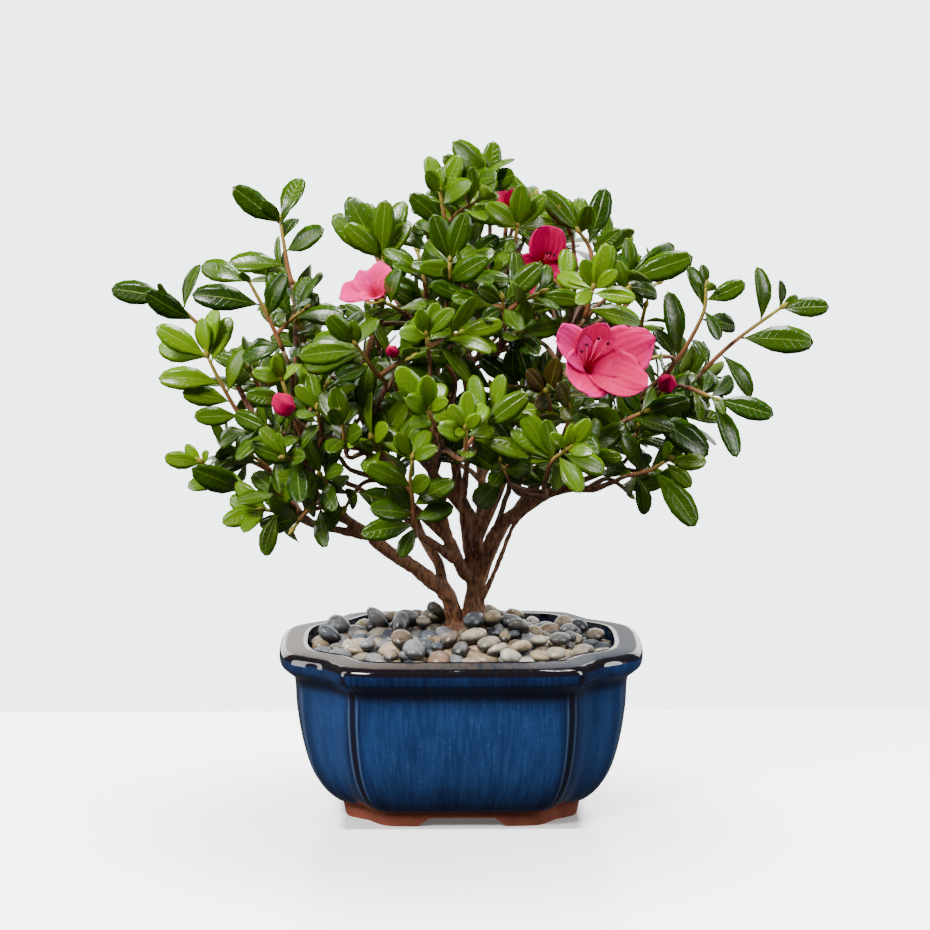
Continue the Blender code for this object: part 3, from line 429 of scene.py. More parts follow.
def cut_away(thing, shapes):
    """Cut (points, faces) shapes from an object."""
    group = bpy.data.collections.new("cutters")
    bpy.context.scene.collection.children.link(group)
    for points, faces in shapes:
        tool = new_piece("cutter", points, faces)
        bpy.context.scene.collection.objects.unlink(tool)
        group.objects.link(tool)
    boolean = thing.modifiers.new("cut", "BOOLEAN")
    boolean.operand_type = "COLLECTION"
    boolean.collection = group
    boolean.solver = "EXACT"
    bake_modifiers(thing)
    for tool in list(group.objects):
        bpy.data.objects.remove(tool, do_unlink=True)
    bpy.data.collections.remove(group)


def sharpen(thing, degrees):
    """Mark the edges that are sharper than this, so that shading breaks there."""
    sheet = bmesh.new()
    sheet.from_mesh(thing.data)
    for edge in sheet.edges:
        edge.smooth = edge.calc_face_angle(0.0) < math.radians(degrees)
    sheet.to_mesh(thing.data)
    sheet.free()


def paint(thing, material):
    """Give an object this material and no other."""
    thing.data.materials.clear()
    thing.data.materials.append(material)


def dress(thing, material, slot, *nodes):
    """Give a piece its material, its body and the CAD nodes that it stands for; slot is not used."""
    paint(thing, material)
    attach(thing, "root")
    if nodes:
        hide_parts(*nodes)


def plan_ring(height, half_length, half_depth):
    """The pot's plan at a height: it passes from the foot's outline to the rim's."""
    share = min(1.0, max(0.0, height / POT_HEIGHT))
    quarter = (1 - share) * np.array(PLAN_FOOT) + share * np.array(PLAN_RIM)
    plan = smooth_path(whole_plan(quarter), AROUND_PARTS, closed=True)
    return np.column_stack((plan[:, 0] * half_length, plan[:, 1] * half_depth, np.full(len(plan), height)))


def prism(outline, bottom, top):
    """An upright prism on a plan outline."""
    outline = np.asarray(outline, float)
    count = len(outline)
    points = np.vstack([np.column_stack((outline, np.full(count, level))) for level in (bottom, top)])
    return points, closed_faces(2, count)


def foot_cut(widths, reach, along_x):
    """The gap between two feet: a long bar, narrower at the top, with rounded upper corners."""
    top, bottom = np.array(widths) / 2
    low = -(bottom - top) / FOOT_HEIGHT
    side = np.array(((bottom - low, -1.0), (top + 1.2, FOOT_HEIGHT - 0.7), (top, FOOT_HEIGHT)))
    section = np.vstack((side, side[::-1] * (-1, 1)))
    rings = []
    for end in (-reach, reach):
        along = np.full(len(section), end)
        rings.append(np.insert(section, 0 if along_x else 1, along, axis=1))
    faces = closed_faces(2, len(section))
    return np.vstack(rings), faces if along_x else [face[::-1] for face in faces]


def build_pot():
    """Rings round the pot at each step of its profile: outside up, over the lip and down inside."""
    profile = smooth_path(POT_OUTSIDE + POT_INSIDE, UP_PARTS)
    profile[:, 0] = np.minimum(profile[:, 0], POT_HEIGHT + LIP_CROWN)
    points = np.vstack([plan_ring(*level) for level in profile])
    levels = len(profile)
    around = len(points) // levels
    rise = np.insert(np.cumsum(np.linalg.norm(np.diff(profile[:, :2], axis=0), axis=1)), 0, 0.0)
    lap = np.arange(around + 1) * LENGTH_AROUND / around
    quads = np.empty((levels - 1, around, 4, 2))
    quads[:, :, (0, 3), 0] = lap[None, :-1, None]
    quads[:, :, (1, 2), 0] = lap[None, 1:, None]
    quads[:, :, (0, 1), 1] = rise[:-1, None, None]
    quads[:, :, (2, 3), 1] = rise[1:, None, None]
    ends = np.zeros((2 * around, 2))
    uv = np.vstack((quads.reshape(-1, 2), ends)) * 0.01
    thin = smooth_path(whole_plan(np.array(PLAN_THIN)[:, None]), AROUND_PARTS, closed=True)
    pot = new_piece("glazed_pot", points, closed_faces(levels, around), uv,
                    thin=np.tile(np.clip(thin[:, 0], 0, 1), levels))
    half_length, half_depth = (half - FOOT_WIDTH for half in POT_OUTSIDE[0][1:])
    recess = [plan_ring(level, half_length, half_depth) for level in (0.0, RECESS_HEIGHT)]
    recess[0][:, 2] = -1.0
    cuts = [(np.vstack(recess), closed_faces(2, around))]
    cuts += [foot_cut(FRONT_CUT, FRONT_REACH, False), foot_cut(SIDE_CUT, SIDE_REACH, True)]
    for middle in (-DRAIN_X, DRAIN_X):
        cuts.append(prism(oval((middle, 0.0), DRAIN_RADIUS, DRAIN_RADIUS, turns(32)), 1.0, FLOOR + 2))
    cut_away(pot, cuts)
    sharpen(pot, SHARP_DEGREES)
    dress(pot, glaze(), "glaze", "pot")


def glaze():
    """Streaked blue glaze over red clay, black and tan where it runs thin.

    The UV map gives the way round in u and the way up the outside and over the lip in v, both in
    tenths of a metre. Streaks are noise drawn out along v. thin is 1 on the upright edges. Painted
    light lightens the middle height of the lobes and the right end, a painted highlight runs beside
    each upright edge, the left end is painted darker, and a black band under the lip is a painted
    shadow.
    """
    f = Finish("streaked_glaze", Coat_Roughness=0.04, IOR=1.25)
    uv = f.node("ShaderNodeTexCoord", {}, {}, "UV")
    up = f.part(uv, 1) * 100.0
    fur = f.noise(f.stretched(uv, (95.0, 6.0, 1.0)), 1.0, 4.0, 0.6)
    broad = f.noise(f.stretched(uv, (14.0, 3.5, 1.0)), 1.0, 3.0, 0.5)
    speck = f.noise(f.place(), 900.0, 2.0, 0.6)
    thin = f.attribute("thin")
    # painted light: the middle height of each lobe, away from the upright edges, is coloured lighter
    painted_lobe_light = up.step(12, 38) * up.step(72, 56) * thin.step(0.6, 0.0)
    side = f.part(f.place(), 0) * 9.0
    # painted light: the right end of the pot is coloured lighter
    painted_light_right_end = side.step(0.45, 0.6)
    # streaks of the glaze, plus the painted light of the lobes and of the right end
    light = fur.step(0.3, 0.75) * 0.35 + broad.step(0.25, 0.75) * 0.3 + painted_lobe_light * 0.55 - 0.15 + painted_light_right_end * 0.4
    body = f.blend(light, DEEP_BLUE, MID_BLUE)
    # pale flecks and painted light, only where the lobes and the right end are painted lighter
    body = f.blend((fur * speck).step(0.22, 0.46) * painted_lobe_light * 0.3 + painted_light_right_end * painted_lobe_light * 0.3, body, FLECK_AND_LIT_BLUE)
    # painted shade: the left end of the pot is coloured darker
    body = f.blend(side.step(-0.45, -0.6) * 0.3, body, SHADED_LEFT_END_BLUE)
    wander = (broad - 0.5) * 1.6
    edge = (thin + (fur - 0.5) * 0.2).step(0.84, 1.0) * up.step(7, 12) * up.step(84, 78)
    # painted highlight: a pale strip beside each upright edge
    pale = thin.step(0.66, 0.78) * thin.step(0.94, 0.84) * up.step(12, 20) * up.step(70, 60)
    # painted shadow: a dark band under the overhanging lip
    body = f.blend(up.step(64, 67.5) * up.step(72, 69.5) * 0.6, body, THIN_GLAZE_AND_SHADOW_BLACK)
    body = f.blend(pale * 0.5, body, EDGE_HIGHLIGHT_BLUE)
    body = f.blend(edge * 0.85, body, THIN_GLAZE_AND_SHADOW_BLACK)
    brim = up + wander * 0.5
    lip = brim.step(84.2, 85.0) * brim.step(93.2, 91.8)
    tan = (fur.step(0.62, 0.38) * 0.7 + 0.15 - side).step(0.0, 0.8)
    body = f.blend(lip, body, f.blend(tan, LIP_BLUE, LIP_TAN))
    body = f.blend(brim.step(79.6, 80.8) * brim.step(85.2, 84.2) * 0.95, body, THIN_GLAZE_AND_SHADOW_BLACK)
    body = f.blend(brim.step(91.5, 92.5) * brim.step(97.0, 94.0) * 0.9, body, THIN_GLAZE_AND_SHADOW_BLACK)
    grit = f.noise(f.place(), 1500.0, 3.0, 0.7)
    bare = f.blend(grit.step(0.3, 0.75), CLAY, CLAY_PALE)
    bare = f.blend(f.noise(f.place(), 60.0).step(0.45, 0.8) * 0.6, bare, CLAY_DARK)
    clay = (up + (fur - 0.5) * 0.5).step(7.9, 7.5)
    colour = f.blend(clay, body, bare)
    rough = clay * 0.66 + lip * 0.36 + 0.07 + speck * 0.04
    height = grit * clay * 0.6 + fur * 0.05 + f.noise(f.place(), 22.0, 2.0) * 0.6
    coat = 1.0 - clay - lip * (side.step(-0.6, -0.4) * 0.2 + 0.78)
    return f.feed(Base_Color=colour, Roughness=rough, Coat_Weight=coat, Normal=f.bump(height, 0.35, 0.0006))


build_pot()

# Drain screens
# A square of black plastic mesh over each of the two drain holes. It lies loose on the floor of the
# pot, held down by the soil.
SCREEN_DARK = (0.012, 0.012, 0.013)
SCREEN_PALE = (0.03, 0.03, 0.032)


def screen_plastic():
    f = Finish("screen_plastic")
    grain = f.noise(f.place(), 2500.0)
    return f.feed(Base_Color=f.blend(grain, SCREEN_DARK, SCREEN_PALE), Roughness=grain * 0.3 + 0.4,
                  Normal=f.bump(grain, 0.2, 0.0002))


SCREEN_BLACK = screen_plastic()
for name in ("drain_screen_left", "drain_screen_right"):
    paint(frame["nodes"][name], SCREEN_BLACK)

# Soil
# Dark, crumbly potting mix that fills the pot up to the pebbles. It shows only through the drain
# holes and in the gaps between pebbles.
SOIL_DARK = (0.012, 0.008, 0.006)
SOIL_PALE = (0.07, 0.045, 0.03)


def soil_mix():
    f = Finish("soil_mix")
    crumb = f.noise(f.place(), 700.0, 5.0, 0.7)
    colour = f.blend(crumb.step(0.35, 0.65), SOIL_DARK, SOIL_PALE)
    return f.feed(Base_Color=colour, Roughness=crumb * 0.2 + 0.75, Normal=f.bump(crumb, 1.0, 0.002))


SOIL_MIX = soil_mix()
paint(frame["nodes"]["soil"], SOIL_MIX)

# Pebbles
# River pebbles in greys, tans and creams, poured over the soil and mounded up to the stems. They
# lie in one close layer with more on top, over a dark bed of smaller grit.
BED_LOW = 62.3
BED_EDGE = 66.0
BED_RISE = 7.5
BED_HOLE = (12.6, 9.1)
CROWN_CENTRE = (2.0, 8.0)
PEBBLE_RADIUS = (3.1, 5.9)
PEBBLES = 176
TOP_PEBBLES = 62
PEBBLE_FACE = 3
PEBBLE_LEAN = 0.36
PUSHES = 260
# ovals round the stems that the bed layer and the upper layer keep out of, in plan
STEM_OVAL = (11.5, 9.0)
UPPER_OVAL = (14.0, 11.5)
STONE_COLOURS = (
    (0.0, (0.05, 0.06, 0.08)), (0.14, (0.14, 0.155, 0.185)), (0.28, (0.32, 0.33, 0.35)),
    (0.42, (0.085, 0.075, 0.065)), (0.54, (0.45, 0.4, 0.3)), (0.66, (0.55, 0.43, 0.26)),
    (0.78, (0.19, 0.125, 0.08)), (0.88, (0.75, 0.69, 0.57)), (1.0, (0.34, 0.2, 0.13)),
)
MOTTLE_DARK = (0.045, 0.042, 0.038)
BAND_PALE = (0.5, 0.46, 0.4)
FLECK_DARK = (0.03, 0.028, 0.026)
# colour of the painted shade on the pebbles' lower sides
PAINTED_SHADE_UNDERSIDE = (0.01, 0.009, 0.008)


def inside_size(height):
    """Half length and half depth of the pot's hollow at a height."""
    levels = np.array(POT_INSIDE)[::-1]
    return np.interp(height, levels[:, 0], levels[:, 1]), np.interp(height, levels[:, 0], levels[:, 2])


def mound(x, y):
    """Height of the bed: highest at the stems and lowest along the pot's wall."""
    out = np.clip((x / 66.0) ** 2 + (y / 48.0) ** 2, 0, 1)
    return BED_EDGE + BED_RISE * (1 - out) ** 0.8


def grid_faces(index):
    """Quads between the neighbours of a grid of point numbers."""
    return np.stack((index[:-1, :-1], index[1:, :-1], index[1:, 1:], index[:-1, 1:]), axis=-1).reshape(-1, 4)


def unit_stone():
    """A cube's faces blown up to a unit ball: grid points of each face, scaled to length one."""
    steps = np.linspace(-1, 1, PEBBLE_FACE + 1)
    steps = np.tan(steps * math.pi / 4)
    points, faces, seen = [], [], {}
    for axis in range(3):
        for side in (-1, 1):
            index = np.empty((PEBBLE_FACE + 1, PEBBLE_FACE + 1), int)
            for i, a in enumerate(steps):
                for j, b in enumerate(steps):
                    spot = np.roll((side, a, b), axis)
                    key = tuple(spot.round(6))
                    if key not in seen:
                        seen[key] = len(points)
                        points.append(unit(spot))
                    index[i, j] = seen[key]
            faces.append(grid_faces(index)[:, ::side])
    return np.array(points), np.vstack(faces)


def spread_out(draw):
    """Middles and radii of pebbles in plan, pushed apart until they only just touch."""
    radii = draw.uniform(*PEBBLE_RADIUS, PEBBLES)
    places = np.column_stack((draw.uniform(-62, 62, PEBBLES), draw.uniform(-44, 44, PEBBLES)))
    half_length, half_depth = inside_size(72.0)
    for _ in range(PUSHES):
        away = places[:, None, :] - places[None, :, :]
        reach = np.linalg.norm(away, axis=2) + np.eye(PEBBLES)
        short = np.clip(0.95 * (radii[:, None] + radii[None, :]) - reach, 0, None)
        np.fill_diagonal(short, 0)
        places += (away / reach[:, :, None] * short[:, :, None]).sum(axis=1) * 0.32
        from_stem = places - CROWN_CENTRE
        stem_reach = np.linalg.norm(from_stem / STEM_OVAL, axis=1)
        inside = stem_reach < 1 + radii / 13
        places[inside] += (from_stem / stem_reach[:, None])[inside] * 0.06
        room = np.column_stack((half_length - radii * 1.12, half_depth - radii * 1.12))
        places = np.clip(places, -room, room)
        corner = np.abs(places / room) @ (0.72, 0.72)
        places = np.where((corner > 1.06)[:, None], places * (1.06 / corner)[:, None], places)
    return places, radii


def build_pebbles():
    """Each pebble is the unit ball, stretched, flattened, gently dented and laid on the mound."""
    draw = np.random.default_rng(4)
    places, radii = spread_out(draw)
    heights = mound(*places.T) + radii * 0.34
    extra = draw.choice(PEBBLES, TOP_PEBBLES, replace=False)
    shift = draw.uniform(-1, 1, (TOP_PEBBLES, 2)) * radii[extra, None] * 0.9
    more = places[extra] * 0.93 + shift
    clear = np.linalg.norm((more - CROWN_CENTRE) / UPPER_OVAL, axis=1) > 1
    more, extra = more[clear], extra[clear]
    more_radii = radii[extra] * draw.uniform(0.72, 1.0, len(extra))
    places = np.vstack((places, more))
    heaped = 2.6 * np.clip(1 - (more[:, 0] / 60) ** 2 - (more[:, 1] / 44) ** 2, 0, 1)
    heights = np.append(heights, mound(*more.T) + heaped + radii[extra] * 0.8 + more_radii * 0.45)
    radii = np.append(radii, more_radii)
    count = len(radii)
    ball, quads = unit_stone()
    sizes = np.column_stack((draw.uniform(1.1, 1.42, count), draw.uniform(0.88, 1.05, count),
                             draw.uniform(0.55, 0.82, count))) * radii[:, None]
    wave = draw.normal(0, 1.3, (count, 3, 3))
    phase = draw.uniform(0, 2 * math.pi, (count, 1, 3))
    dents = 1 + 0.07 * np.sin(ball @ wave + phase).sum(axis=2)
    shapes = ball[None] * dents[:, :, None] * sizes[:, None, :]
    turn = draw.uniform(0, math.pi, count)
    lean, roll = draw.normal(0, PEBBLE_LEAN, count), draw.normal(0, PEBBLE_LEAN, count)
    c, s = np.cos(turn), np.sin(turn)
    zero, one = np.zeros(count), np.ones(count)
    spin = np.array(((c, -s, zero), (s, c, zero), (zero, zero, one))).transpose(2, 0, 1)
    c, s = np.cos(lean), np.sin(lean)
    tip = np.array(((c, zero, s), (zero, one, zero), (-s, zero, c))).transpose(2, 0, 1)
    c, s = np.cos(roll), np.sin(roll)
    heel = np.array(((one, zero, zero), (zero, c, -s), (zero, s, c))).transpose(2, 0, 1)
    turned = shapes @ (tip @ heel @ spin).transpose(0, 2, 1)
    points = turned + np.column_stack((places, heights))[:, None, :]
    faces = (quads[None] + (np.arange(count) * len(ball))[:, None, None]).reshape(-1, 4)
    kind = np.repeat(draw.uniform(0, 1, count), len(ball))
    shade = np.repeat(draw.uniform(0, 1, count), len(ball))
    # height of each point on its pebble, which sets the painted shade of the lower side
    rise = (turned[:, :, 2] / radii[:, None]).ravel()
    stones = new_piece("river_pebbles", points.reshape(-1, 3), faces.tolist(), kind=kind, shade=shade,
                       rise=rise)
    dress(stones, pebble_stone(), "stone", "gravel")


def pebble_stone():
    """Water-worn stone: each pebble's own colour, mottled, with pale bands and dark flecks, and painted shade on
    its lower side.
    """
    f = Finish("pebble_stone", IOR=1.5)
    kind, shade = f.attribute("kind"), f.attribute("shade")
    own = f.node("ShaderNodeValToRGB", {"stops": STONE_COLOURS}, {0: kind})
    mottle = f.noise(f.place(), 330.0, 5.0, 0.62)
    bands = f.noise(f.stretched(f.place(), (120.0, 200.0, 900.0)), 1.0, 2.0, 0.5, 0.6)
    fleck = f.noise(f.place(), 2600.0, 2.0, 0.5)
    colour = f.blend(mottle.step(0.42, 0.72) * 0.6, own, MOTTLE_DARK)
    colour = f.blend(bands.step(0.56, 0.7) * shade.step(0.3, 0.9) * 0.45, colour, BAND_PALE)
    colour = f.blend(fleck.step(0.62, 0.74) * 0.4, colour, FLECK_DARK)
    # painted shade: the lower side of each pebble is darkened, so the gaps between pebbles read as shaded
    colour = f.blend(f.attribute("rise").step(0.45, -0.2) * 0.95, colour, PAINTED_SHADE_UNDERSIDE)
    height = mottle * 0.5 + fleck * 0.12
    return f.feed(Base_Color=colour, Roughness=mottle * 0.25 + 0.18, Normal=f.bump(height, 0.35, 0.0006))


def build_bed():
    """The grit under the pebbles: plan rings up the pot's wall and in over the mound to the stems."""
    rings = []
    for height in (BED_LOW, 63.5, BED_EDGE - 0.8):
        half_length, half_depth = inside_size(height)
        rings.append(plan_ring(height, half_length - 0.3, half_depth - 0.3))
    half_length, half_depth = inside_size(BED_EDGE)
    hole = oval(CROWN_CENTRE, *BED_HOLE, turns(len(rings[0])))
    edge = plan_ring(POT_HEIGHT, half_length - 1.0, half_depth - 1.0)[:, :2]
    for share in (1.0, 0.8, 0.55, 0.3, 0.0):
        spots = hole * (1 - share) + edge * share
        rings.append(np.column_stack((spots, mound(*spots.T) - 0.6)))
    rings.append(np.column_stack((hole, np.full(len(hole), BED_LOW))))
    around, levels = len(hole), len(rings)
    faces = ring_faces(levels, around).tolist()
    k = np.arange(around)
    last = (levels - 1) * around
    faces += np.column_stack((last + k, last + (k + 1) % around, (k + 1) % around, k)).tolist()
    bed = new_piece("grit_bed", np.vstack(rings), faces)
    dress(bed, SOIL_MIX, "stone", "gravel")


build_bed()
build_pebbles()

# Stems and limbs
# One woody plant: a flared root crown, two stems and their limbs, with brown, lightly ridged bark.
# The limbs are grown together here by remeshing, so that each fork has a smooth crotch.
CROWN = ((50.0, 8.6, 5.8), (61.0, 10.1, 7.1), (66.0, 11.9, 8.3), (74.0, 11.2, 7.7), (80.0, 8.0, 5.6))
CROWN_SIDES = 28
LIMB_SIDES = 12
VOXEL = 0.58
RIDGE_DEPTH = 0.16
BARK_HOLLOW = (0.05, 0.015, 0.007)
BARK_RIDGE = (0.33, 0.13, 0.05)
BARK_PATCH = (0.5, 0.27, 0.13)
BARK_PORE = (0.5, 0.34, 0.22)
# each limb: its points, thick end first, and the radius at its two ends
LIMBS = (
    (((1, 8, 72), (-3, 8, 82), (-6, 5, 92), (-13, 2, 99), (-21, 0, 106), (-30, -3, 112),
      (-39, -7, 120)), 4.1, 2.8),
    (((5, 8, 72), (6, 8, 86), (7, 8, 99)), 5.0, 4.4),
    (((-37, -6, 120), (-48, -11, 128), (-59, -14, 135), (-66, -18, 148), (-70, -20, 165), (-72, -20, 185),
      (-71, -14, 205), (-72, -10, 222)), 2.3, 1.4),
    (((-37, -6, 120), (-50, -12, 124), (-65, -15, 128), (-78, -13, 134)), 2.2, 1.5),
    (((-66, -18, 148), (-78, -8, 158), (-90, 2, 172), (-100, 6, 190)), 1.8, 1.3),
    (((-8, 4, 96), (-10, 8, 106), (-18, 13, 119), (-27, 16, 141), (-38, 12, 160), (-44, 6, 176),
      (-42, 0, 196), (-36, -5, 216)), 2.6, 1.5),
    (((7, 8, 98), (1, 6, 103), (-4, 3, 114), (-8, -4, 128), (-12, -20, 147), (-12, -38, 160),
      (-9, -58, 168)), 3.3, 1.6),
    (((-3, 4, 108), (-9, 0, 114), (-17, -8, 121), (-20, -26, 127)), 2.3, 1.5),
    (((-5, 0, 117), (-20, -6, 133), (-33, -20, 148), (-40, -34, 162), (-37, -42, 180)), 2.1, 1.4),
    (((7, 8, 98), (8, 12, 110), (5, 17, 124), (-1, 20, 136), (-2, 22, 159), (-4, 20, 185), (-5, 12, 210),
      (-6, 3, 236)), 3.6, 1.5),
    (((-4, 20, 185), (3, 20, 212), (11, 18, 238)), 2.0, 1.4),
    (((-4, 19, 187), (8, 2, 199), (23, -8, 205), (38, -20, 212)), 1.9, 1.4),
    (((-12, -38, 160), (-12, -48, 178), (-13, -56, 194)), 1.7, 1.3),
    (((7, 8, 98), (11, 6, 108), (15, 4, 120), (26, 0, 132), (43, -5, 141), (58, -14, 143)), 3.4, 1.7),
    (((34, -2, 137), (36, -22, 141), (35, -44, 148)), 2.0, 1.4),
    (((26, 0, 132), (40, 4, 150), (58, 4, 167), (76, -1, 180)), 2.2, 1.5),
    (((8, 14, 117), (20, 16, 145), (34, 14, 175), (46, 10, 205)), 3.0, 1.5),
    (((2, 18, 127), (-14, 30, 145), (-32, 38, 162), (-46, 40, 182)), 2.4, 1.4),
    (((8, 14, 117), (10, 34, 138), (6, 50, 160), (2, 56, 190), (0, 48, 222)), 2.5, 1.4),
    (((8, 8, 93), (12, 10, 104), (17, 15, 115), (28, 27, 131), (44, 38, 152), (54, 42, 176)), 2.0, 1.4),
    (((7, 9, 90), (4.5, 8, 104), (2, 9, 118), (1, 9, 131), (2, 8, 143), (3, 7, 153)), 2.2, 1.5),
    (((8, 7, 86), (14, 2, 101), (18.5, 2, 112), (21, 2, 119), (24, 2, 125), (31, 0, 132),
      (42, -4.5, 140)), 1.3, 0.9),
)


def frames(points, end_way=None):
    """Two normals at each point of a path, carried along it without twist."""
    tangents = np.gradient(points, axis=0)
    tangents /= np.linalg.norm(tangents, axis=1)[:, None]
    if end_way is not None:
        tangents[-1] = end_way
    side = np.cross(tangents[0], (0.31, 0.17, 0.93))
    normals = np.empty((len(points), 2, 3))
    for k, tangent in enumerate(tangents):
        side = unit(side - tangent * (side @ tangent))
        normals[k] = side, np.cross(tangent, side)
    return normals


def rod(points, radii, sides, end_way=None):
    """A rod along a path: ring k is centre + radius (a cos t + b sin t), a and b across the path."""
    points = np.asarray(points, float)
    normals = frames(points, end_way)
    turn = turns(sides)[None, :, None]
    ring = np.cos(turn) * normals[:, None, 0] + np.sin(turn) * normals[:, None, 1]
    rings = points[:, None, :] + np.asarray(radii, float)[:, None, None] * ring
    return rings.reshape(-1, 3), closed_faces(len(points), sides)


def joined(shapes):
    """Several (points, faces) shapes as one."""
    points, faces, start = [], [], 0
    for spots, polygons in shapes:
        points.append(spots)
        faces += [[index + start for index in polygon] for polygon in polygons]
        start += len(spots)
    return np.vstack(points), faces


def build_limbs():
    """Ovals up the root crown, lobed by two cosines, and a knotty rod for each limb, grown together."""
    turn = turns(CROWN_SIDES)
    lobes = 1 + 0.07 * np.cos(5 * turn + 0.6) + 0.04 * np.cos(9 * turn)
    rings = []
    for height, radius_x, radius_y in smooth_path(CROWN, 4):
        swell = 1 + (lobes - 1) * np.clip((82 - height) / 14, 0, 1.2)
        ring = oval(CROWN_CENTRE, radius_x * swell, radius_y * swell, turn)
        rings.append(np.column_stack((ring, np.full(CROWN_SIDES, height))))
    shapes = [(np.vstack(rings), closed_faces(len(rings), CROWN_SIDES))]
    draw = np.random.default_rng(8)
    for points, start, end in LIMBS:
        path = smooth_path(points, 6)
        along = np.linspace(0, 1, len(path))
        knots = 1 + 0.1 * np.sin(along * len(path) * 0.9 + draw.uniform(0, 6)) * draw.uniform(0.3, 1.0, len(path))
        path = path + draw.normal(0, 0.16 * start / 3.0, path.shape) * np.sin(along * math.pi)[:, None]
        shapes.append(rod(path, (start + (end - start) * along) * knots, LIMB_SIDES))
    wood = new_piece("stems_and_limbs", *joined(shapes))
    remesh = wood.modifiers.new("grow_together", "REMESH")
    remesh.mode = "VOXEL"
    remesh.voxel_size = VOXEL * MM
    bake_modifiers(wood)
    relax_and_ridge(wood)
    wood.data.shade_smooth()
    dress(wood, bark(), "bark", "wood")


def relax_and_ridge(thing):
    """Smooth the voxel steps, then raise bark ridges: a sum of sines that run up the stems."""
    sheet = bmesh.new()
    sheet.from_mesh(thing.data)
    axes = {"use_axis_x": True, "use_axis_y": True, "use_axis_z": True}
    for _ in range(3):
        bmesh.ops.smooth_vert(sheet, verts=sheet.verts, factor=0.5, **axes)
    sheet.to_mesh(thing.data)
    sheet.free()
    count = len(thing.data.vertices)
    spots, normals = np.empty(count * 3), np.empty(count * 3)
    thing.data.vertices.foreach_get("co", spots)
    thing.data.vertices.foreach_get("normal", normals)
    spots, normals = spots.reshape(-1, 3) / MM, normals.reshape(-1, 3)
    x, y, z = spots.T
    ridge = np.sin(1.9 * x + 0.5 * z + 2 * np.sin(0.35 * z)) * np.sin(2.1 * y - 0.4 * z)
    ridge += 0.6 * np.sin(3.7 * x - 1.1 * z) * np.sin(3.3 * y + 0.9 * z)
    thick = np.clip((150 - z) / 60, 0.25, 1.0)
    spots += normals * (RIDGE_DEPTH * ridge * thick)[:, None]
    thing.data.vertices.foreach_set("co", (spots * MM).ravel())
    thing.data.update()


def bark():
    """Red-brown bark: dark in the hollows, paler on the ridges, with tan patches and pale pores."""
    f = Finish("bark")
    place = f.place()
    long = f.noise(f.stretched(place, (900.0, 900.0, 220.0)), 1.0, 5.0, 0.65)
    patch = f.noise(place, 90.0, 3.0, 0.6)
    pore = f.noise(place, 2400.0, 2.0, 0.6)
    colour = f.blend(long.step(0.34, 0.66), BARK_HOLLOW, BARK_RIDGE)
    colour = f.blend(patch.step(0.5, 0.75) * 0.5, colour, BARK_PATCH)
    colour = f.blend(pore.step(0.6, 0.72) * 0.45, colour, BARK_PORE)
    height = long * 0.8 + pore * 0.25
    return f.feed(Base_Color=colour, Roughness=patch * 0.3 + 0.45, Normal=f.bump(height, 0.75, 0.0007))


build_limbs()

# Twigs
# Thin woody shoots of last year, reddish brown, that carry the leafy shoots, blooms and buds. Each
# leaves the nearest limb that points its way and ends square to what it carries.
GAP = 0.3
TWIG_RADII = (1.25, 0.9)
BACK_LEAVES = 15
FORK_LEAVES = 9
BACK_YOUTH = 0.25
TWIG_SIDES = 7
TWIG_STEP = 3.5
NEAREST = 5.0
TWIG_HOLLOW = (0.09, 0.03, 0.014)
TWIG_RIDGE = (0.24, 0.105, 0.045)
TWIG_GREY = (0.17, 0.13, 0.06)
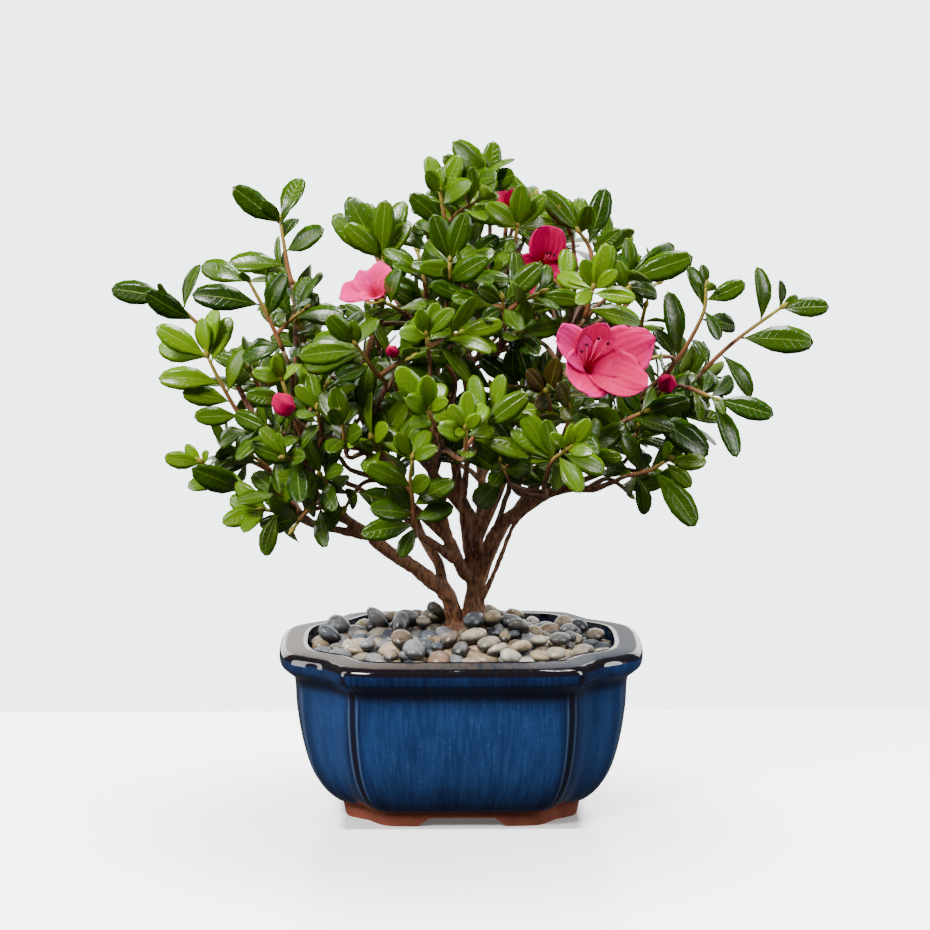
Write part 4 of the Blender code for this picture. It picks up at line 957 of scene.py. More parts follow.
# each front shoot: its name, how young its leaves are from 0 to 1, its stem's points, and each leaf
# as the share of the way up the stem at which it grows and the place of its tip
FRONT_SHOOTS = (
    ("upper_left", 0.1, ((-73, -9, 232), (-75, -8, 241), (-78, -6, 259)), (
        (0.96, -98, -14, 274), (1, -68, 4, 277), (0.71, -72, 5, 260), (0.52, -60, -23, 257),
        (0.31, -101, -6, 241), (1, -84, -14, 269), (0.95, -74, -24, 266))),
    ("left_shoot", 0.1, ((-76, -30, 206), (-83, -32, 222), (-90, -34, 236)), (
        (1, -111, -25, 243), (0.65, -114, -35, 232), (0.47, -74, -47, 241), (0.37, -73, -19, 219),
        (0.08, -92, -17, 204), (0, -92, -44, 204), (1, -93, -41, 241))),
    ("far_left", 0.05, ((-105, 6, 203), (-116, 2, 215), (-126, 0, 225)), (
        (1, -152, 4, 230), (0.55, -137, -8, 228), (0.76, -115, 6, 240), (0.98, -131, -8, 232))),
    ("left_bright", 0.75, ((-91, -10, 167), (-98, -14, 179), (-105, -18, 193), (-109, -20, 202)), (
        (1, -131, -22, 215), (1, -112, -22, 219), (1, -106, -18, 223), (1, -102, -9, 215),
        (1, -132, -9, 206), (0.53, -93, -26, 206), (0.92, -99, -18, 219), (0.67, -130, -20, 195),
        (0.43, -120, -21, 188), (0.25, -115, -23, 175), (0, -106, 4, 161))),
    ("low_left", 0.6, ((-89, -12, 141), (-103, -16, 148), (-112, -20, 156)), (
        (1, -128, -24, 159), (1, -119, -18, 164), (0.18, -115, -31, 155), (0.13, -103, 0, 147),
        (0.55, -118, -23, 145), (0.97, -109, -25, 162))),
    ("bottom_left", 0.5, ((-57, -22, 138), (-70, -26, 135), (-85, -30, 137)), (
        (1, -101, -23, 140), (0.98, -102, -39, 133), (1, -93, -45, 131), (0.82, -84, -16, 145),
        (0.78, -86, -30, 117), (0.64, -73, -13, 119), (0.14, -58, -43, 125), (0.4, -63, -38, 150),
        (0.06, -50, -11, 149), (0.92, -98, -26, 148))),
    ("left_mid", 0.55, ((-67, -36, 166), (-70, -40, 175), (-76, -48, 196)), (
        (1, -78, -58, 208), (1, -87, -59, 200), (0.67, -91, -49, 190), (0.35, -73, -52, 186),
        (1, -85, -34, 206), (0.95, -69, -34, 202), (0.33, -62, -26, 175), (0.14, -75, -55, 169))),
    ("left_inner", 0.2, ((-49, -50, 165), (-50, -56, 176), (-51, -60, 183)), (
        (0.67, -52, -66, 195), (0.7, -55, -69, 187), (0.69, -45, -41, 186), (0.58, -61, -42, 187),
        (0.36, -56, -72, 170), (0.32, -42, -70, 178))),
    ("stacked_left", 0.35, ((-33, -50, 196), (-37, -56, 201), (-44, -66, 213)), (
        (0.85, -68, -74, 210), (0.75, -67, -54, 203), (0.48, -52, -68, 198), (1, -55, -77, 226),
        (1, -45, -73, 224), (1, -36, -58, 224), (0.91, -63, -48, 213))),
    ("upper_rosette", 0.3, ((-33, -8, 232), (-34, -6, 243)), (
        (1, -48, -8, 270), (1, -49, -16, 259), (1, -32, -13, 269), (0.86, -23, -8, 259),
        (1, -56, -4, 261), (1, -25, -4, 268), (1, -41, -4, 267))),
    ("mid_left_top", 0.5, ((-14, -62, 209), (-15, -66, 217)), (
        (0.96, -18, -73, 229), (1, -10, -71, 231), (1, -5, -74, 229), (0.86, -26, -79, 220),
        (0.95, -21, -56, 223), (0.68, -4, -48, 215))),
    ("crown_left", 0.6, ((-6, -2, 254), (-8, -4, 266), (-9, -4, 272)), (
        (0.97, -16, -17, 281), (1, -14, -2, 287), (0.86, 0, -6, 287), (0.13, -22, -10, 271),
        (0, -22, 7, 255), (0.67, 4, -23, 277), (1, -9, -6, 282))),
    ("crown_tip", 0.3, ((13, 22, 258), (12, 16, 272)), (
        (1, -2, -4, 293), (1, 23, -4, 280), (1, 15, 12, 292), (0.86, 4, 27, 281),
        (0.61, 25, 29, 269), (1, 8, 8, 287))),
    ("crown_front", 0.2, ((-6, -34, 231), (-5, -38, 245)), (
        (1, -12, -44, 265), (1, 2, -46, 266), (0.93, -16, -24, 253), (0.88, 7, -21, 250),
        (0.4, -9, -48, 242), (0.35, 10, -53, 247))),
    ("crown_right", 0.35, ((23, -8, 246), (24, -10, 257)), (
        (1, 11, -23, 268), (1, 26, -18, 276), (1, 36, -12, 271), (0.94, 42, 1, 258),
        (0.46, 19, -19, 247), (0.91, 17, 4, 258), (1, 31, -12, 266))),
    ("right_top", 0.2, ((58, 6, 240), (56, 8, 247), (52, 4, 253)), (
        (1, 51, 13, 268), (0.97, 35, -5, 272), (0.5, 64, 10, 272), (0.26, 70, 0, 254),
        (1, 46, 1, 266), (0.95, 56, -8, 266))),
    ("right_wing", 0.1, ((67, 2, 228), (73, 4, 234)), (
        (1, 94, 10, 247), (0.71, 101, 1, 243), (1, 73, 2, 251), (0.75, 81, -18, 236),
        (0.29, 88, 14, 226))),
    ("right_bright", 0.75, ((52, -40, 221), (55, -46, 234)), (
        (1, 50, -51, 247), (1, 61, -52, 253), (1, 65, -50, 242), (0.85, 73, -47, 230),
        (1, 45, -33, 239), (0.33, 76, -36, 218), (0.92, 48, -58, 229), (0.9, 40, -33, 235))),
    ("right_tall", 0.1, ((92, -6, 196), (98, -8, 205), (105, -10, 220), (106, -10, 231)), (
        (0.1, 90, -9, 229), (0.76, 99, -8, 240), (1, 104, -12, 241), (0.84, 123, -12, 232),
        (0.74, 112, -12, 208), (0.62, 121, 1, 212), (0.08, 85, -1, 212), (0.94, 109, -17, 233))),
    ("far_right", 0.1, ((106, 2, 192), (113, 0, 200), (123, -2, 209), (139, -4, 221)), (
        (0.76, 129, -8, 239), (1, 140, -2, 233), (1, 160, -6, 221), (0.5, 154, -4, 206),
        (0.26, 128, 2, 181), (0.07, 104, 12, 206), (1, 147, -2, 226))),
    ("right_hang", 0.05, ((98, -18, 188), (104, -22, 186), (109, -24, 184)), (
        (0, 102, -37, 177), (1, 134, -26, 176), (0.89, 119, -26, 159), (0.66, 112, -37, 180),
        (0.23, 96, -11, 174), (0.83, 119, -11, 191), (0.53, 109, -10, 194))),
    ("right_low", 0.1, ((71, -30, 176), (78, -34, 180)), (
        (0.47, 96, -42, 186), (0.26, 90, -45, 173), (1, 106, -32, 160), (0.81, 68, -45, 192),
        (0.81, 83, -23, 189))),
    ("right_tip", 0.4, ((72, -26, 151), (81, -30, 154), (88, -34, 159)), (
        (1, 99, -37, 172), (1, 105, -38, 159), (0.93, 98, -35, 147), (0.59, 101, -33, 130),
        (0.18, 79, -29, 134), (0.25, 70, -34, 171), (0.92, 86, -42, 170), (1, 95, -29, 163),
        (0.13, 62, -12, 151))),
    ("front_pair", 0.75, ((35, -66, 157), (37, -72, 165), (43, -78, 171)), (
        (0.55, 25, -75, 186), (0.5, 20, -74, 178), (0.54, 34, -74, 183), (0.5, 22, -74, 168),
        (0.5, 36, -56, 150), (0.96, 36, -83, 178), (1, 45, -84, 182), (1, 52, -84, 184),
        (1, 53, -87, 171), (0.71, 49, -87, 155), (0.82, 60, -69, 160))),
    ("front_mid", 0.75, ((1, -80, 169), (1, -88, 181)), (
        (1, -6, -94, 192), (1, 3, -90, 197), (1, 6, -97, 189), (0.96, -3, -95, 180),
        (0.7, -10, -102, 184), (0.73, 14, -73, 179), (0, 1, -98, 171), (0.96, 11, -74, 189))),
    ("front_left", 0.7, ((-11, -74, 178), (-15, -80, 189)), (
        (1, -26, -89, 207), (0.91, -15, -91, 204), (0.88, -7, -91, 193), (0.89, -7, -68, 197),
        (0.81, -24, -95, 194), (0.45, -21, -93, 183))),
    ("centre_low", 0.45, ((-20, -52, 132), (-21, -58, 146), (-22, -62, 156), (-21, -66, 165)), (
        (1, -28, -72, 177), (0.95, -33, -59, 177), (0.98, -11, -74, 171), (0.61, -40, -73, 164),
        (0.96, -14, -54, 175), (0.27, -31, -64, 153), (0.35, -4, -68, 156), (0.15, -4, -64, 145),
        (0.22, -38, -72, 144), (0.07, -42, -64, 134), (0.02, -26, -59, 122), (0.52, -14, -76, 159),
        (0.31, -35, -43, 144))),
    ("centre_right", 0.2, ((19, -46, 153), (16, -52, 161)), (
        (0.9, 6, -63, 172), (0.88, 24, -63, 170), (0.5, 12, -65, 153), (0.1, 25, -33, 139),
        (0.33, 6, -34, 138), (0.6, 28, -64, 160))),
    ("inner_top", 0.15, ((18, -40, 221), (17, -44, 229)), (
        (1, 34, -46, 244), (0.9, 6, -57, 236), (1, 15, -31, 240), (0.54, 24, -56, 218),
        (0.76, 33, -30, 228), (0.55, 9, -55, 223))),
)
# shoots at the back and sides, whose leaves are set round the stem by a rule: root and tip
BACK_SHOOTS = (
    ((-66, 32, 178), (-92, 44, 192)), ((-52, 50, 152), (-74, 68, 158)), ((-34, 60, 176), (-48, 82, 188)),
    ((-60, 30, 214), (-82, 42, 234)), ((-32, 42, 226), (-44, 56, 250)), ((-8, 62, 192), (-12, 88, 206)),
    ((-2, 44, 244), (-4, 54, 268)), ((-12, 58, 148), (-20, 84, 150)), ((26, 60, 162), (34, 86, 170)),
    ((32, 46, 222), (40, 64, 242)), ((28, 36, 246), (34, 46, 266)), ((60, 46, 188), (80, 62, 200)),
    ((60, 40, 148), (84, 54, 154)), ((70, 24, 216), (88, 32, 228)), ((82, 18, 180), (108, 30, 186)),
    ((-84, 16, 146), (-106, 28, 152)), ((20, 66, 206), (25, 86, 222)),
)
# side shoots that fork from a front shoot: the shoot, the place on its stem, and the fork's tip
FORKS = (
    ("left_shoot", (-79, -30.9, 213), (-67, -24, 223)),
    ("left_mid", (-69, -38.7, 172), (-59, -28, 190)),
    ("left_inner", (-49.5, -53, 170.5), (-38, -36, 184)),
    ("stacked_left", (-34.8, -52.7, 198.2), (-21, -52, 206)),
    ("crown_left", (-6.6, -2.6, 257.5), (7, -8, 268)),
    ("inner_top", (17.7, -41.2, 223.4), (33, -42, 232)),
    ("inner_top", (17.4, -42.2, 225.4), (2, -34, 228)),
    ("mid_left_top", (-14.3, -63.2, 211.4), (-1, -50, 216)),
    ("centre_right", (18.4, -47.2, 154.6), (24, -32, 174)),
    ("front_mid", (1, -82, 172), (14, -62, 184)),
    ("centre_low", (-21.3, -59.5, 149.8), (-34, -44, 166)),
    ("right_bright", (53.1, -42.2, 225.8), (39, -34, 236)),
)
# short shoots inside the crown: youth, number of leaves, root and tip
INNER_SHOOTS = (
    (0.2, 8, (-15, -12, 227), (-17, -14, 240)), (0.25, 8, (-23, -34, 221), (-33, -42, 228)),
    (0.3, 7, (-67, -8, 204), (-70, -14, 216)), (0.4, 7, (-60, -38, 171), (-61, -46, 183)),
    (0.15, 8, (-37, -2, 175), (-40, -10, 187)), (0.15, 9, (-74, -16, 165), (-83, -24, 171)),
    (0.3, 8, (-66, -40, 159), (-75, -50, 163)), (0.2, 8, (-87, 5, 182), (-92, 2, 193)),
    (0.15, 8, (-51, 8, 201), (-54, 4, 212)), (0.35, 8, (3, 8, 268), (2, 4, 279)),
    (0.15, 9, (6, 2, 234), (4, -4, 245)), (0.2, 9, (11, -10, 224), (11, -16, 237)),
    (0.3, 8, (1, -26, 231), (0, -32, 242)), (0.4, 8, (48, 6, 252), (43, 0, 264)),
    (0.15, 8, (34, -10, 212), (31, -16, 221)), (0.25, 8, (-4, -28, 210), (-5, -34, 219)),
    (0.2, 8, (-13, 6, 240), (-14, 0, 251)), (0.3, 6, (-4, -34, 197), (-9, -40, 203)),
    (0.2, 7, (-5, -22, 178), (-7, -28, 186)), (0.15, 7, (16, -12, 180), (13, -18, 189)),
    (0.1, 7, (33, -20, 187), (22, -28, 190)), (0.1, 8, (38, -32, 180), (36, -40, 189)),
    (0.35, 8, (45, -36, 172), (45, -44, 183)), (0.2, 8, (21, -12, 165), (17, -18, 173)),
    (0.15, 7, (22, -18, 145), (19, -26, 153)), (0.85, 6, (-35, -44, 162), (-38, -50, 171)),
    (0.2, 8, (-18, -10, 164), (-21, -16, 174)), (0.15, 7, (-3, -14, 152), (-6, -22, 161)),
    (0.2, 8, (68, 0, 221), (72, -6, 229)), (0.4, 5, (87, -36, 204), (80, -42, 204)),
    (0.1, 8, (75, -8, 160), (77, -16, 171)), (0.15, 8, (61, 2, 159), (61, -6, 169)),
    (0.1, 8, (84, 4, 176), (89, -2, 184)), (0.15, 8, (91, -4, 170), (97, -8, 175)),
    (0.15, 8, (79, 12, 209), (81, 8, 220)), (0.3, 8, (50, -24, 153), (55, -32, 161)),
    (0.2, 10, (-29, 28, 226), (-33, 34, 237)), (0.2, 10, (-9, 34, 252), (-11, 40, 265)),
    (0.2, 10, (5, 44, 246), (5, 50, 260)), (0.2, 10, (20, 34, 249), (22, 40, 262)),
    (0.2, 10, (38, 34, 238), (40, 40, 251)), (0.2, 10, (58, 30, 230), (63, 36, 242)),
    (0.2, 10, (-13, 26, 208), (-16, 30, 221)), (0.2, 10, (18, 24, 201), (18, 28, 214)),
    (0.2, 10, (0, 40, 211), (-1, 46, 224)), (0.2, 10, (45, 28, 199), (47, 32, 211)),
    (0.2, 10, (67, 30, 194), (73, 34, 204)), (0.2, 10, (-36, 34, 198), (-40, 38, 210)),
    (0.2, 10, (-63, 30, 190), (-69, 34, 200)), (0.2, 10, (-78, 18, 173), (-85, 22, 181)),
    (0.2, 10, (-54, 28, 167), (-60, 32, 178)), (0.2, 10, (-27, 34, 175), (-31, 38, 187)),
    (0.2, 10, (49, 30, 167), (54, 34, 177)), (0.2, 10, (71, 26, 167), (78, 30, 176)),
    (0.2, 10, (90, 30, 180), (97, 34, 187)), (0.2, 10, (-84, 12, 147), (-92, 14, 153)),
    (0.2, 10, (-67, 26, 154), (-74, 30, 162)), (0.2, 10, (27, 48, 219), (29, 54, 231)),
    (0.2, 10, (-16, 50, 228), (-19, 56, 240)), (0.2, 6, (-44, -22, 146), (-50, -30, 138)),
    (0.2, 6, (-64, -26, 138), (-72, -34, 130)), (0.3, 6, (-56, -34, 146), (-60, -42, 154)),
    (0.3, 6, (-50, -28, 156), (-55, -36, 164)), (0.3, 6, (-72, -30, 138), (-80, -38, 146)),
    (0.2, 6, (66, -8, 146), (73, -14, 141)), (0.2, 6, (76, -8, 150), (84, -12, 147)),
    (0.3, 6, (24, -24, 146), (30, -32, 154)), (0.2, 6, (18, -24, 208), (24, -32, 214)),
)
# each bloom: foot of its stalk, way it faces, number of stamens, and each petal's turn round the
# bloom, length, width, spread and backward curl, with angles in degrees, and paleness from 0 to 1,
# which paints light and shade: paler on lit petals and deeper on shaded ones
BLOOMS = (
    ("bloom_right", (48.5, -60, 199), (0.4, -0.8, 0.45), 6, (
        (14, 27.5, 25.0, 68, 8, 0.3), (84, 19.5, 25.0, 50, 5, -0.3), (146, 24.5, 20.0, 62, 12, 0.9),
        (221, 22.0, 30.0, 58, 10, 0.4), (317, 24.5, 26.0, 58, 10, -0.15))),
    ("bloom_top", (35, 6, 240), (0.1, -0.9, 0.0), 3, (
        (87, 19.5, 18.5, 66, 0, 0.0), (10, 15.0, 16.0, 60, 15, 0.0), (190, 16.5, 16.0, 62, 15, 0.2),
        (238, 15.0, 15.0, 60, 10, -0.2), (306, 15.0, 15.0, 60, 10, -0.2))),
    ("bloom_left", (-34, -30, 225), (-0.25, -0.6, 0.76), 0, (
        (200, 16.0, 15.0, 75, 35, 0.9), (95, 14.0, 15.0, 60, 35, 0.8), (25, 12.0, 12.0, 40, 10, 0.6),
        (275, 12.0, 13.0, 45, 15, 0.8), (148, 13.0, 12.0, 58, 25, 0.9))),
    ("bloom_crown", (23, 26, 253), (0.0, -0.5, 0.86), 0, (
        (0, 13.0, 9.5, 28, 5, 0.1), (72, 13.0, 9.5, 25, 5, 0.1), (144, 13.0, 9.5, 28, 5, 0.1),
        (216, 12.5, 9.5, 30, 5, 0.2), (288, 13.0, 9.5, 28, 5, 0.1))),
)
# each bud: foot of its stalk, way it points, length and width
BUDS = (
    ("bud_left", (-71, -50, 180), (-0.45, -0.5, 0.7), 12.0, 9.0),
    ("bud_right", (86, -16, 186), (0.3, -0.75, 0.55), 10.0, 7.6),
    ("bud_centre", (-27, -50, 206), (-0.3, -0.85, 0.4), 9.0, 5.0),
)


def grown_from(root, heading):
    """The place on a limb from which a twig to this root grows: near, below and pointing its way."""
    best = (1e9, None, None, None)
    for points, start_radius, end_radius in LIMBS[2:]:
        points = np.array(points, float)
        for k in range(len(points) - 1):
            step = points[k + 1] - points[k]
            for share in (0.0, 0.25, 0.5, 0.75, 1.0):
                spot = points[k] + step * share
                away = root - spot
                reach = np.linalg.norm(away)
                if reach < NEAREST:
                    continue
                radius = start_radius + (end_radius - start_radius) * (k + share) / (len(points) - 1)
                cost = reach * (2.2 - away @ unit(step) / reach - 0.7 * (away @ heading) / reach)
                if cost < best[0]:
                    best = (cost, spot, unit(step), radius)
    return best[1:]


def twig(root, heading, draw):
    """A cubic from the limb's own direction to the heading of what the twig carries."""
    root = np.asarray(root, float)
    spot, limb_way, limb_radius = grown_from(root, heading)
    end = root - heading * GAP / 2
    reach = np.linalg.norm(end - spot)
    start_way = unit(limb_way + (end - spot) / reach) * reach
    steps = max(7, int(reach / TWIG_STEP))
    s = np.linspace(0, 1, steps)[:, None]
    near = 2 * s ** 3 - 3 * s ** 2 + 1
    points = near * spot + (1 - near) * end + (s ** 3 - 2 * s ** 2 + s) * start_way
    points += (s ** 3 - s ** 2) * heading * reach
    points[1:-2] += draw.normal(0, 0.22, (steps - 3, 3))
    radii = np.interp(s[:, 0], (0, 1), (min(limb_radius * 0.8, TWIG_RADII[0] * 1.15), TWIG_RADII[1]))
    radii *= draw.uniform(0.93, 1.1, steps)
    return rod(points, radii, TWIG_SIDES, heading)


def build_twigs():
    """A twig to each foot of a shoot, bloom or bud."""
    draw = np.random.default_rng(3)
    shapes = [twig(root, heading, draw) for root, heading in FEET]
    twigs = new_piece("twigs", *joined(shapes))
    dress(twigs, twig_bark(), "bark", "wood")
    return shapes


def twig_bark():
    """Last year's bark: red-brown, flecked with grey skin that has split."""
    f = Finish("twig_bark")
    long = f.noise(f.stretched(f.place(), (1200.0, 1200.0, 500.0)), 1.0, 4.0, 0.6)
    patch = f.noise(f.place(), 120.0)
    colour = f.blend(long.step(0.35, 0.65), TWIG_HOLLOW, TWIG_RIDGE)
    colour = f.blend(patch.step(0.45, 0.7) * 0.6, colour, TWIG_GREY)
    return f.feed(Base_Color=colour, Roughness=long * 0.2 + 0.45, Normal=f.bump(long, 0.6, 0.0004))


def all_shoots():
    """Name, youth, stem and leaf rows of every shoot; rows are a number where a rule sets the leaves."""
    shoots = [("shoot_" + name, youth, stem, rows) for name, youth, stem, rows in FRONT_SHOOTS]
    ages = {name: youth for name, youth, *_ in FRONT_SHOOTS}
    for number, (root, tip) in enumerate(BACK_SHOOTS, 1):
        shoots.append(("shoot_back_%02d" % number, BACK_YOUTH, bowed(root, tip), BACK_LEAVES))
    for youth, count, root, tip in INNER_SHOOTS:
        shoots.append(("inner_shoots", youth, bowed(root, tip), count))
    for name, root, tip in FORKS:
        shoots.append(("shoot_" + name, ages[name], bowed(root, tip), FORK_LEAVES))
    return shoots


def bowed(root, tip):
    root, tip = np.array(root, float), np.array(tip, float)
    return root, (root + tip) / 2 + (0, 0, 1.5 * np.linalg.norm(tip - root) / 30), tip


FEET = [(stem[0], unit(np.subtract(stem[1], stem[0]))) for _, _, stem, _ in all_shoots()[:-len(FORKS)]]
FEET += [(foot, unit(facing)) for _, foot, facing, *_ in BLOOMS + BUDS]
TWIG_SHAPES = build_twigs()

# Blooms
# Wide funnels of five broad, ruffled petals, rose pink with a deeper throat, on a short green
# stalk. A few pink stamens with dark tips and a longer pistil stand in the throat.
PETAL_ROWS = 16
PETAL_COLUMNS = 13
PETAL_THICKNESS = 0.45
PETAL_REACH = 1.3
PETAL_PINK = (0.56, 0.0, 0.085)
# pale pink of the rims, and of the painted light on lit petals
PETAL_RIM_AND_LIT_PINK = (0.86, 0.012, 0.24)
PETAL_DEEP = (0.47, 0.0, 0.065)
THROAT_RED = (0.9, 0.05, 0.2)
FRECKLE_RED = (0.22, 0.0, 0.025)
FILAMENT_PINK = (0.85, 0.1, 0.22)
STALK_GREEN = (0.16, 0.24, 0.03)
ANTHER_DARK = (0.03, 0.006, 0.012)
STALK_RADII = (0.9, 0.9, 1.3, 2.1, 1.9)
STALK_SIDES = 8


def plate_faces(rows, columns):
    """Quads of a closed blade: an upper grid, then the same under it, sharing the grid's border.

    Returns the faces and the upper grid's point for each lower point.
    """
    upper = np.arange(rows * columns).reshape(rows, columns)
    lower = upper.copy()
    inner = (rows - 2) * (columns - 2)
    lower[1:-1, 1:-1] = rows * columns + np.arange(inner).reshape(rows - 2, columns - 2)
    return np.vstack((grid_faces(upper), grid_faces(lower)[:, ::-1])), upper[1:-1, 1:-1].ravel()


def petal_shape(axis, right, up, foot, petal, phase):
    """A petal and its fifth of the funnel, with u from the foot to the tip and v from edge to edge.

    The middle line starts at the foot and leans out from the axis as it rises: the lean grows from
    9 degrees to the spread, and by the curl towards the tip. A row is an arc round the axis. Half
    its length is the fifth of the funnel low down, then a sine up to the widest place and the root
    of 1 - t ** 2.6 beyond it. The edge is ruffled by a sine that grows towards the tip.
    """
    turn, length, width, spread, curl, _ = petal
    s = np.linspace(0, 1, PETAL_ROWS)
    u = 0.35 * s + 0.65 * np.sin(s * math.pi / 2)
    v = np.linspace(-1, 1, PETAL_COLUMNS)
    lean = 9 + (spread - 9) * np.clip((u - 0.18) / 0.42, 0, 1) ** 1.1 + curl * np.clip(u - 0.7, 0, 1) / 0.3
    lean = np.radians(lean[1:])
    step = length * PETAL_REACH * np.diff(u)
    out = 1.3 + np.insert(np.cumsum(np.sin(lean) * step), 0, 0)
    rise = 2.0 + np.insert(np.cumsum(np.cos(lean) * step), 0, 0)
    swell = np.sin(math.pi / 2 * np.clip((u - 0.12) / 0.56, 0, 1)) ** 1.3
    narrow = np.sqrt(1 - np.clip((u - 0.62) / 0.38, 0, 1) ** 2.6)
    half = np.maximum(out * math.pi / 5 * 1.05 * (u < 0.4), width / 2 * swell * narrow)
    side = v * np.maximum(half, 0.25)[:, None]
    angle = math.radians(turn) + side / out[:, None]
    ruffle = length * 0.05 * (u ** 3)[:, None] * np.sin(side / width * 10 + phase)
    ruffle = ruffle + length * 0.022 * (u ** 4)[:, None] * np.sin(side / width * 27 + 2 * phase)
    radial = np.cos(angle)[..., None] * right + np.sin(angle)[..., None] * up
    points = foot + (rise[:, None] + ruffle)[..., None] * axis
    points = points + (out[:, None] + ruffle * 0.4)[..., None] * radial
    normal = np.cross(np.gradient(points, axis=0), np.gradient(points, axis=1)).reshape(-1, 3)
    normal /= np.linalg.norm(normal, axis=1)[:, None] + 1e-9
    upper = points.reshape(-1, 3)
    faces, above = plate_faces(PETAL_ROWS, PETAL_COLUMNS)
    lower = upper[above] - normal[above] * PETAL_THICKNESS
    share = np.repeat(u, PETAL_COLUMNS)
    across = np.tile(v, PETAL_ROWS)
    return np.vstack((upper, lower)), faces, np.append(share, share[above]), np.append(across, across[above])


def build_bloom(name, foot, facing, stamens, petals):
    """Petals, stalk, filaments and anthers of a bloom; kind tells them apart in its skin."""
    axis = unit(facing)
    foot = np.asarray(foot, float)
    right = unit(np.cross((0.0, 0.0, 1.0), axis))
    up = np.cross(axis, right)
    draw = np.random.default_rng(len(name))
    shapes, rows = [], []
    for petal in petals:
        points, faces, u, v = petal_shape(axis, right, up, foot, petal, draw.uniform(0, 6))
        shapes.append((points, faces.tolist()))
        rows.append((u, v, np.zeros(len(u)), np.full(len(u), petal[5])))
    stalk = foot + axis * np.linspace(GAP / 2, 2.6, 5)[:, None]
    shapes.append(rod(stalk, STALK_RADII, STALK_SIDES))
    length = petals[0][1]
    parts = [(2.0, 0.0)]
    for k in range(stamens):
        lean = math.radians(100 + (k - 2.5) * 19)
        out = math.cos(lean) * right + math.sin(lean) * up
        reach = length * (0.72 if k == 2 else draw.uniform(0.42, 0.66))
        s = np.linspace(0, 1, 7)[:, None]
        path = foot + axis * (3.0 + reach * s) + out * (length * 0.04 + length * 0.26 * s ** 1.7)
        tip = path[-1] + np.outer(np.linspace(-0.8, 0.8, 5), unit(path[-1] - path[-2]))
        shapes += [rod(path, np.linspace(0.3, 0.2, 7), 5), rod(tip, (0.25, 0.6, 0.7, 0.6, 0.25), 6)]
        parts += [(1.0, 1.0), (3.0, 1.0)]
    for (points, _), (kind, u) in zip(shapes[len(petals):], parts):
        count = len(points)
        rows.append((np.full(count, u), np.zeros(count), np.full(count, kind), np.zeros(count)))
    along, across, kind, pale = (np.concatenate([row[k] for row in rows]) for k in range(4))
    points, faces = joined(shapes)
    bloom = new_piece(name + "_petals", points, faces, along=along, across=across, kind=kind, pale=pale)
    dress(bloom, PETAL_SKIN, "petal", name)
    return points, faces


def petal_skin():
    """Petal: crimson in the throat, pink and then paler towards the rim, with fine veins; each petal's paleness
    adds painted light on lit petals and painted shade on shaded ones.
    """
    f = Finish("petal_skin", Subsurface_Weight=0.2, Subsurface_Scale=0.002, Specular_IOR_Level=0.06)
    f.shader.inputs["Subsurface Radius"].default_value = (1.0, 0.2, 0.3)
    u, v = f.attribute("along"), f.attribute("across")
    kind, pale = f.attribute("kind"), f.attribute("pale")
    place = f.place()
    cloud = f.noise(place, 160.0, 3.0)
    grain = f.noise(place, 900.0, 3.0)
    lines = ((v * 24.0 + grain * 3.0).sine() * 0.5 + 0.5) * u.step(0.25, 0.6)
    # painted light and shade: pale shrinks the deep throat on lit petals and widens it on shaded ones
    throat = (u + cloud * 0.24 - 0.12 + pale * 0.34).step(0.34, 0.86)
    colour = f.blend(throat, PETAL_DEEP, PETAL_PINK)
    border = u.step(0.7, 1.0) * 0.45 + v.size().step(0.66, 1.0) * 0.35
    # the paler rim, plus painted light that makes lit petals paler beyond the throat
    rim = (border + pale * 0.75 + (cloud - 0.5) * 0.5).step(0.1, 1.2)
    colour = f.blend(rim * u.step(0.24, 0.62), colour, PETAL_RIM_AND_LIT_PINK)
    colour = f.blend(lines * 0.2, colour, PETAL_DEEP)
    colour = f.blend(u.step(0.3, 0.1) * 0.8, colour, THROAT_RED)
    freckle = grain.step(0.6, 0.66) * u.step(0.36, 0.44) * u.step(0.7, 0.55)
    colour = f.blend(freckle * 0.5, colour, FRECKLE_RED)
    colour = f.blend(kind.step(0.4, 0.6), colour, FILAMENT_PINK)
    colour = f.blend(kind.step(1.4, 1.6), colour, STALK_GREEN)
    colour = f.blend(kind.step(2.4, 2.6), colour, ANTHER_DARK)
    return f.feed(Base_Color=colour, Roughness=grain * 0.2 + 0.42, Normal=f.bump(lines + grain, 0.3, 0.0004))


PETAL_SKIN = petal_skin()
BLOOM_SHAPES = [build_bloom(*bloom) for bloom in BLOOMS]

# Buds
# Flower buds about to open: tightly wrapped pink petals in a pointed spindle on a short green
# stalk, with a small collar of scales.
# share of the way up the bud, and its half width there as a share of the widest
BUD_PROFILE = ((0.0, 0.3), (0.1, 0.72), (0.3, 0.98), (0.5, 1.0), (0.7, 0.82), (0.86, 0.5), (0.96, 0.22),
               (1.0, 0.05))
BUD_SIDES = 20
BUD_FOOT = 3.6
BUD_STALK = (0.9, 0.85, 0.9, 1.2, 1.9, 1.6)


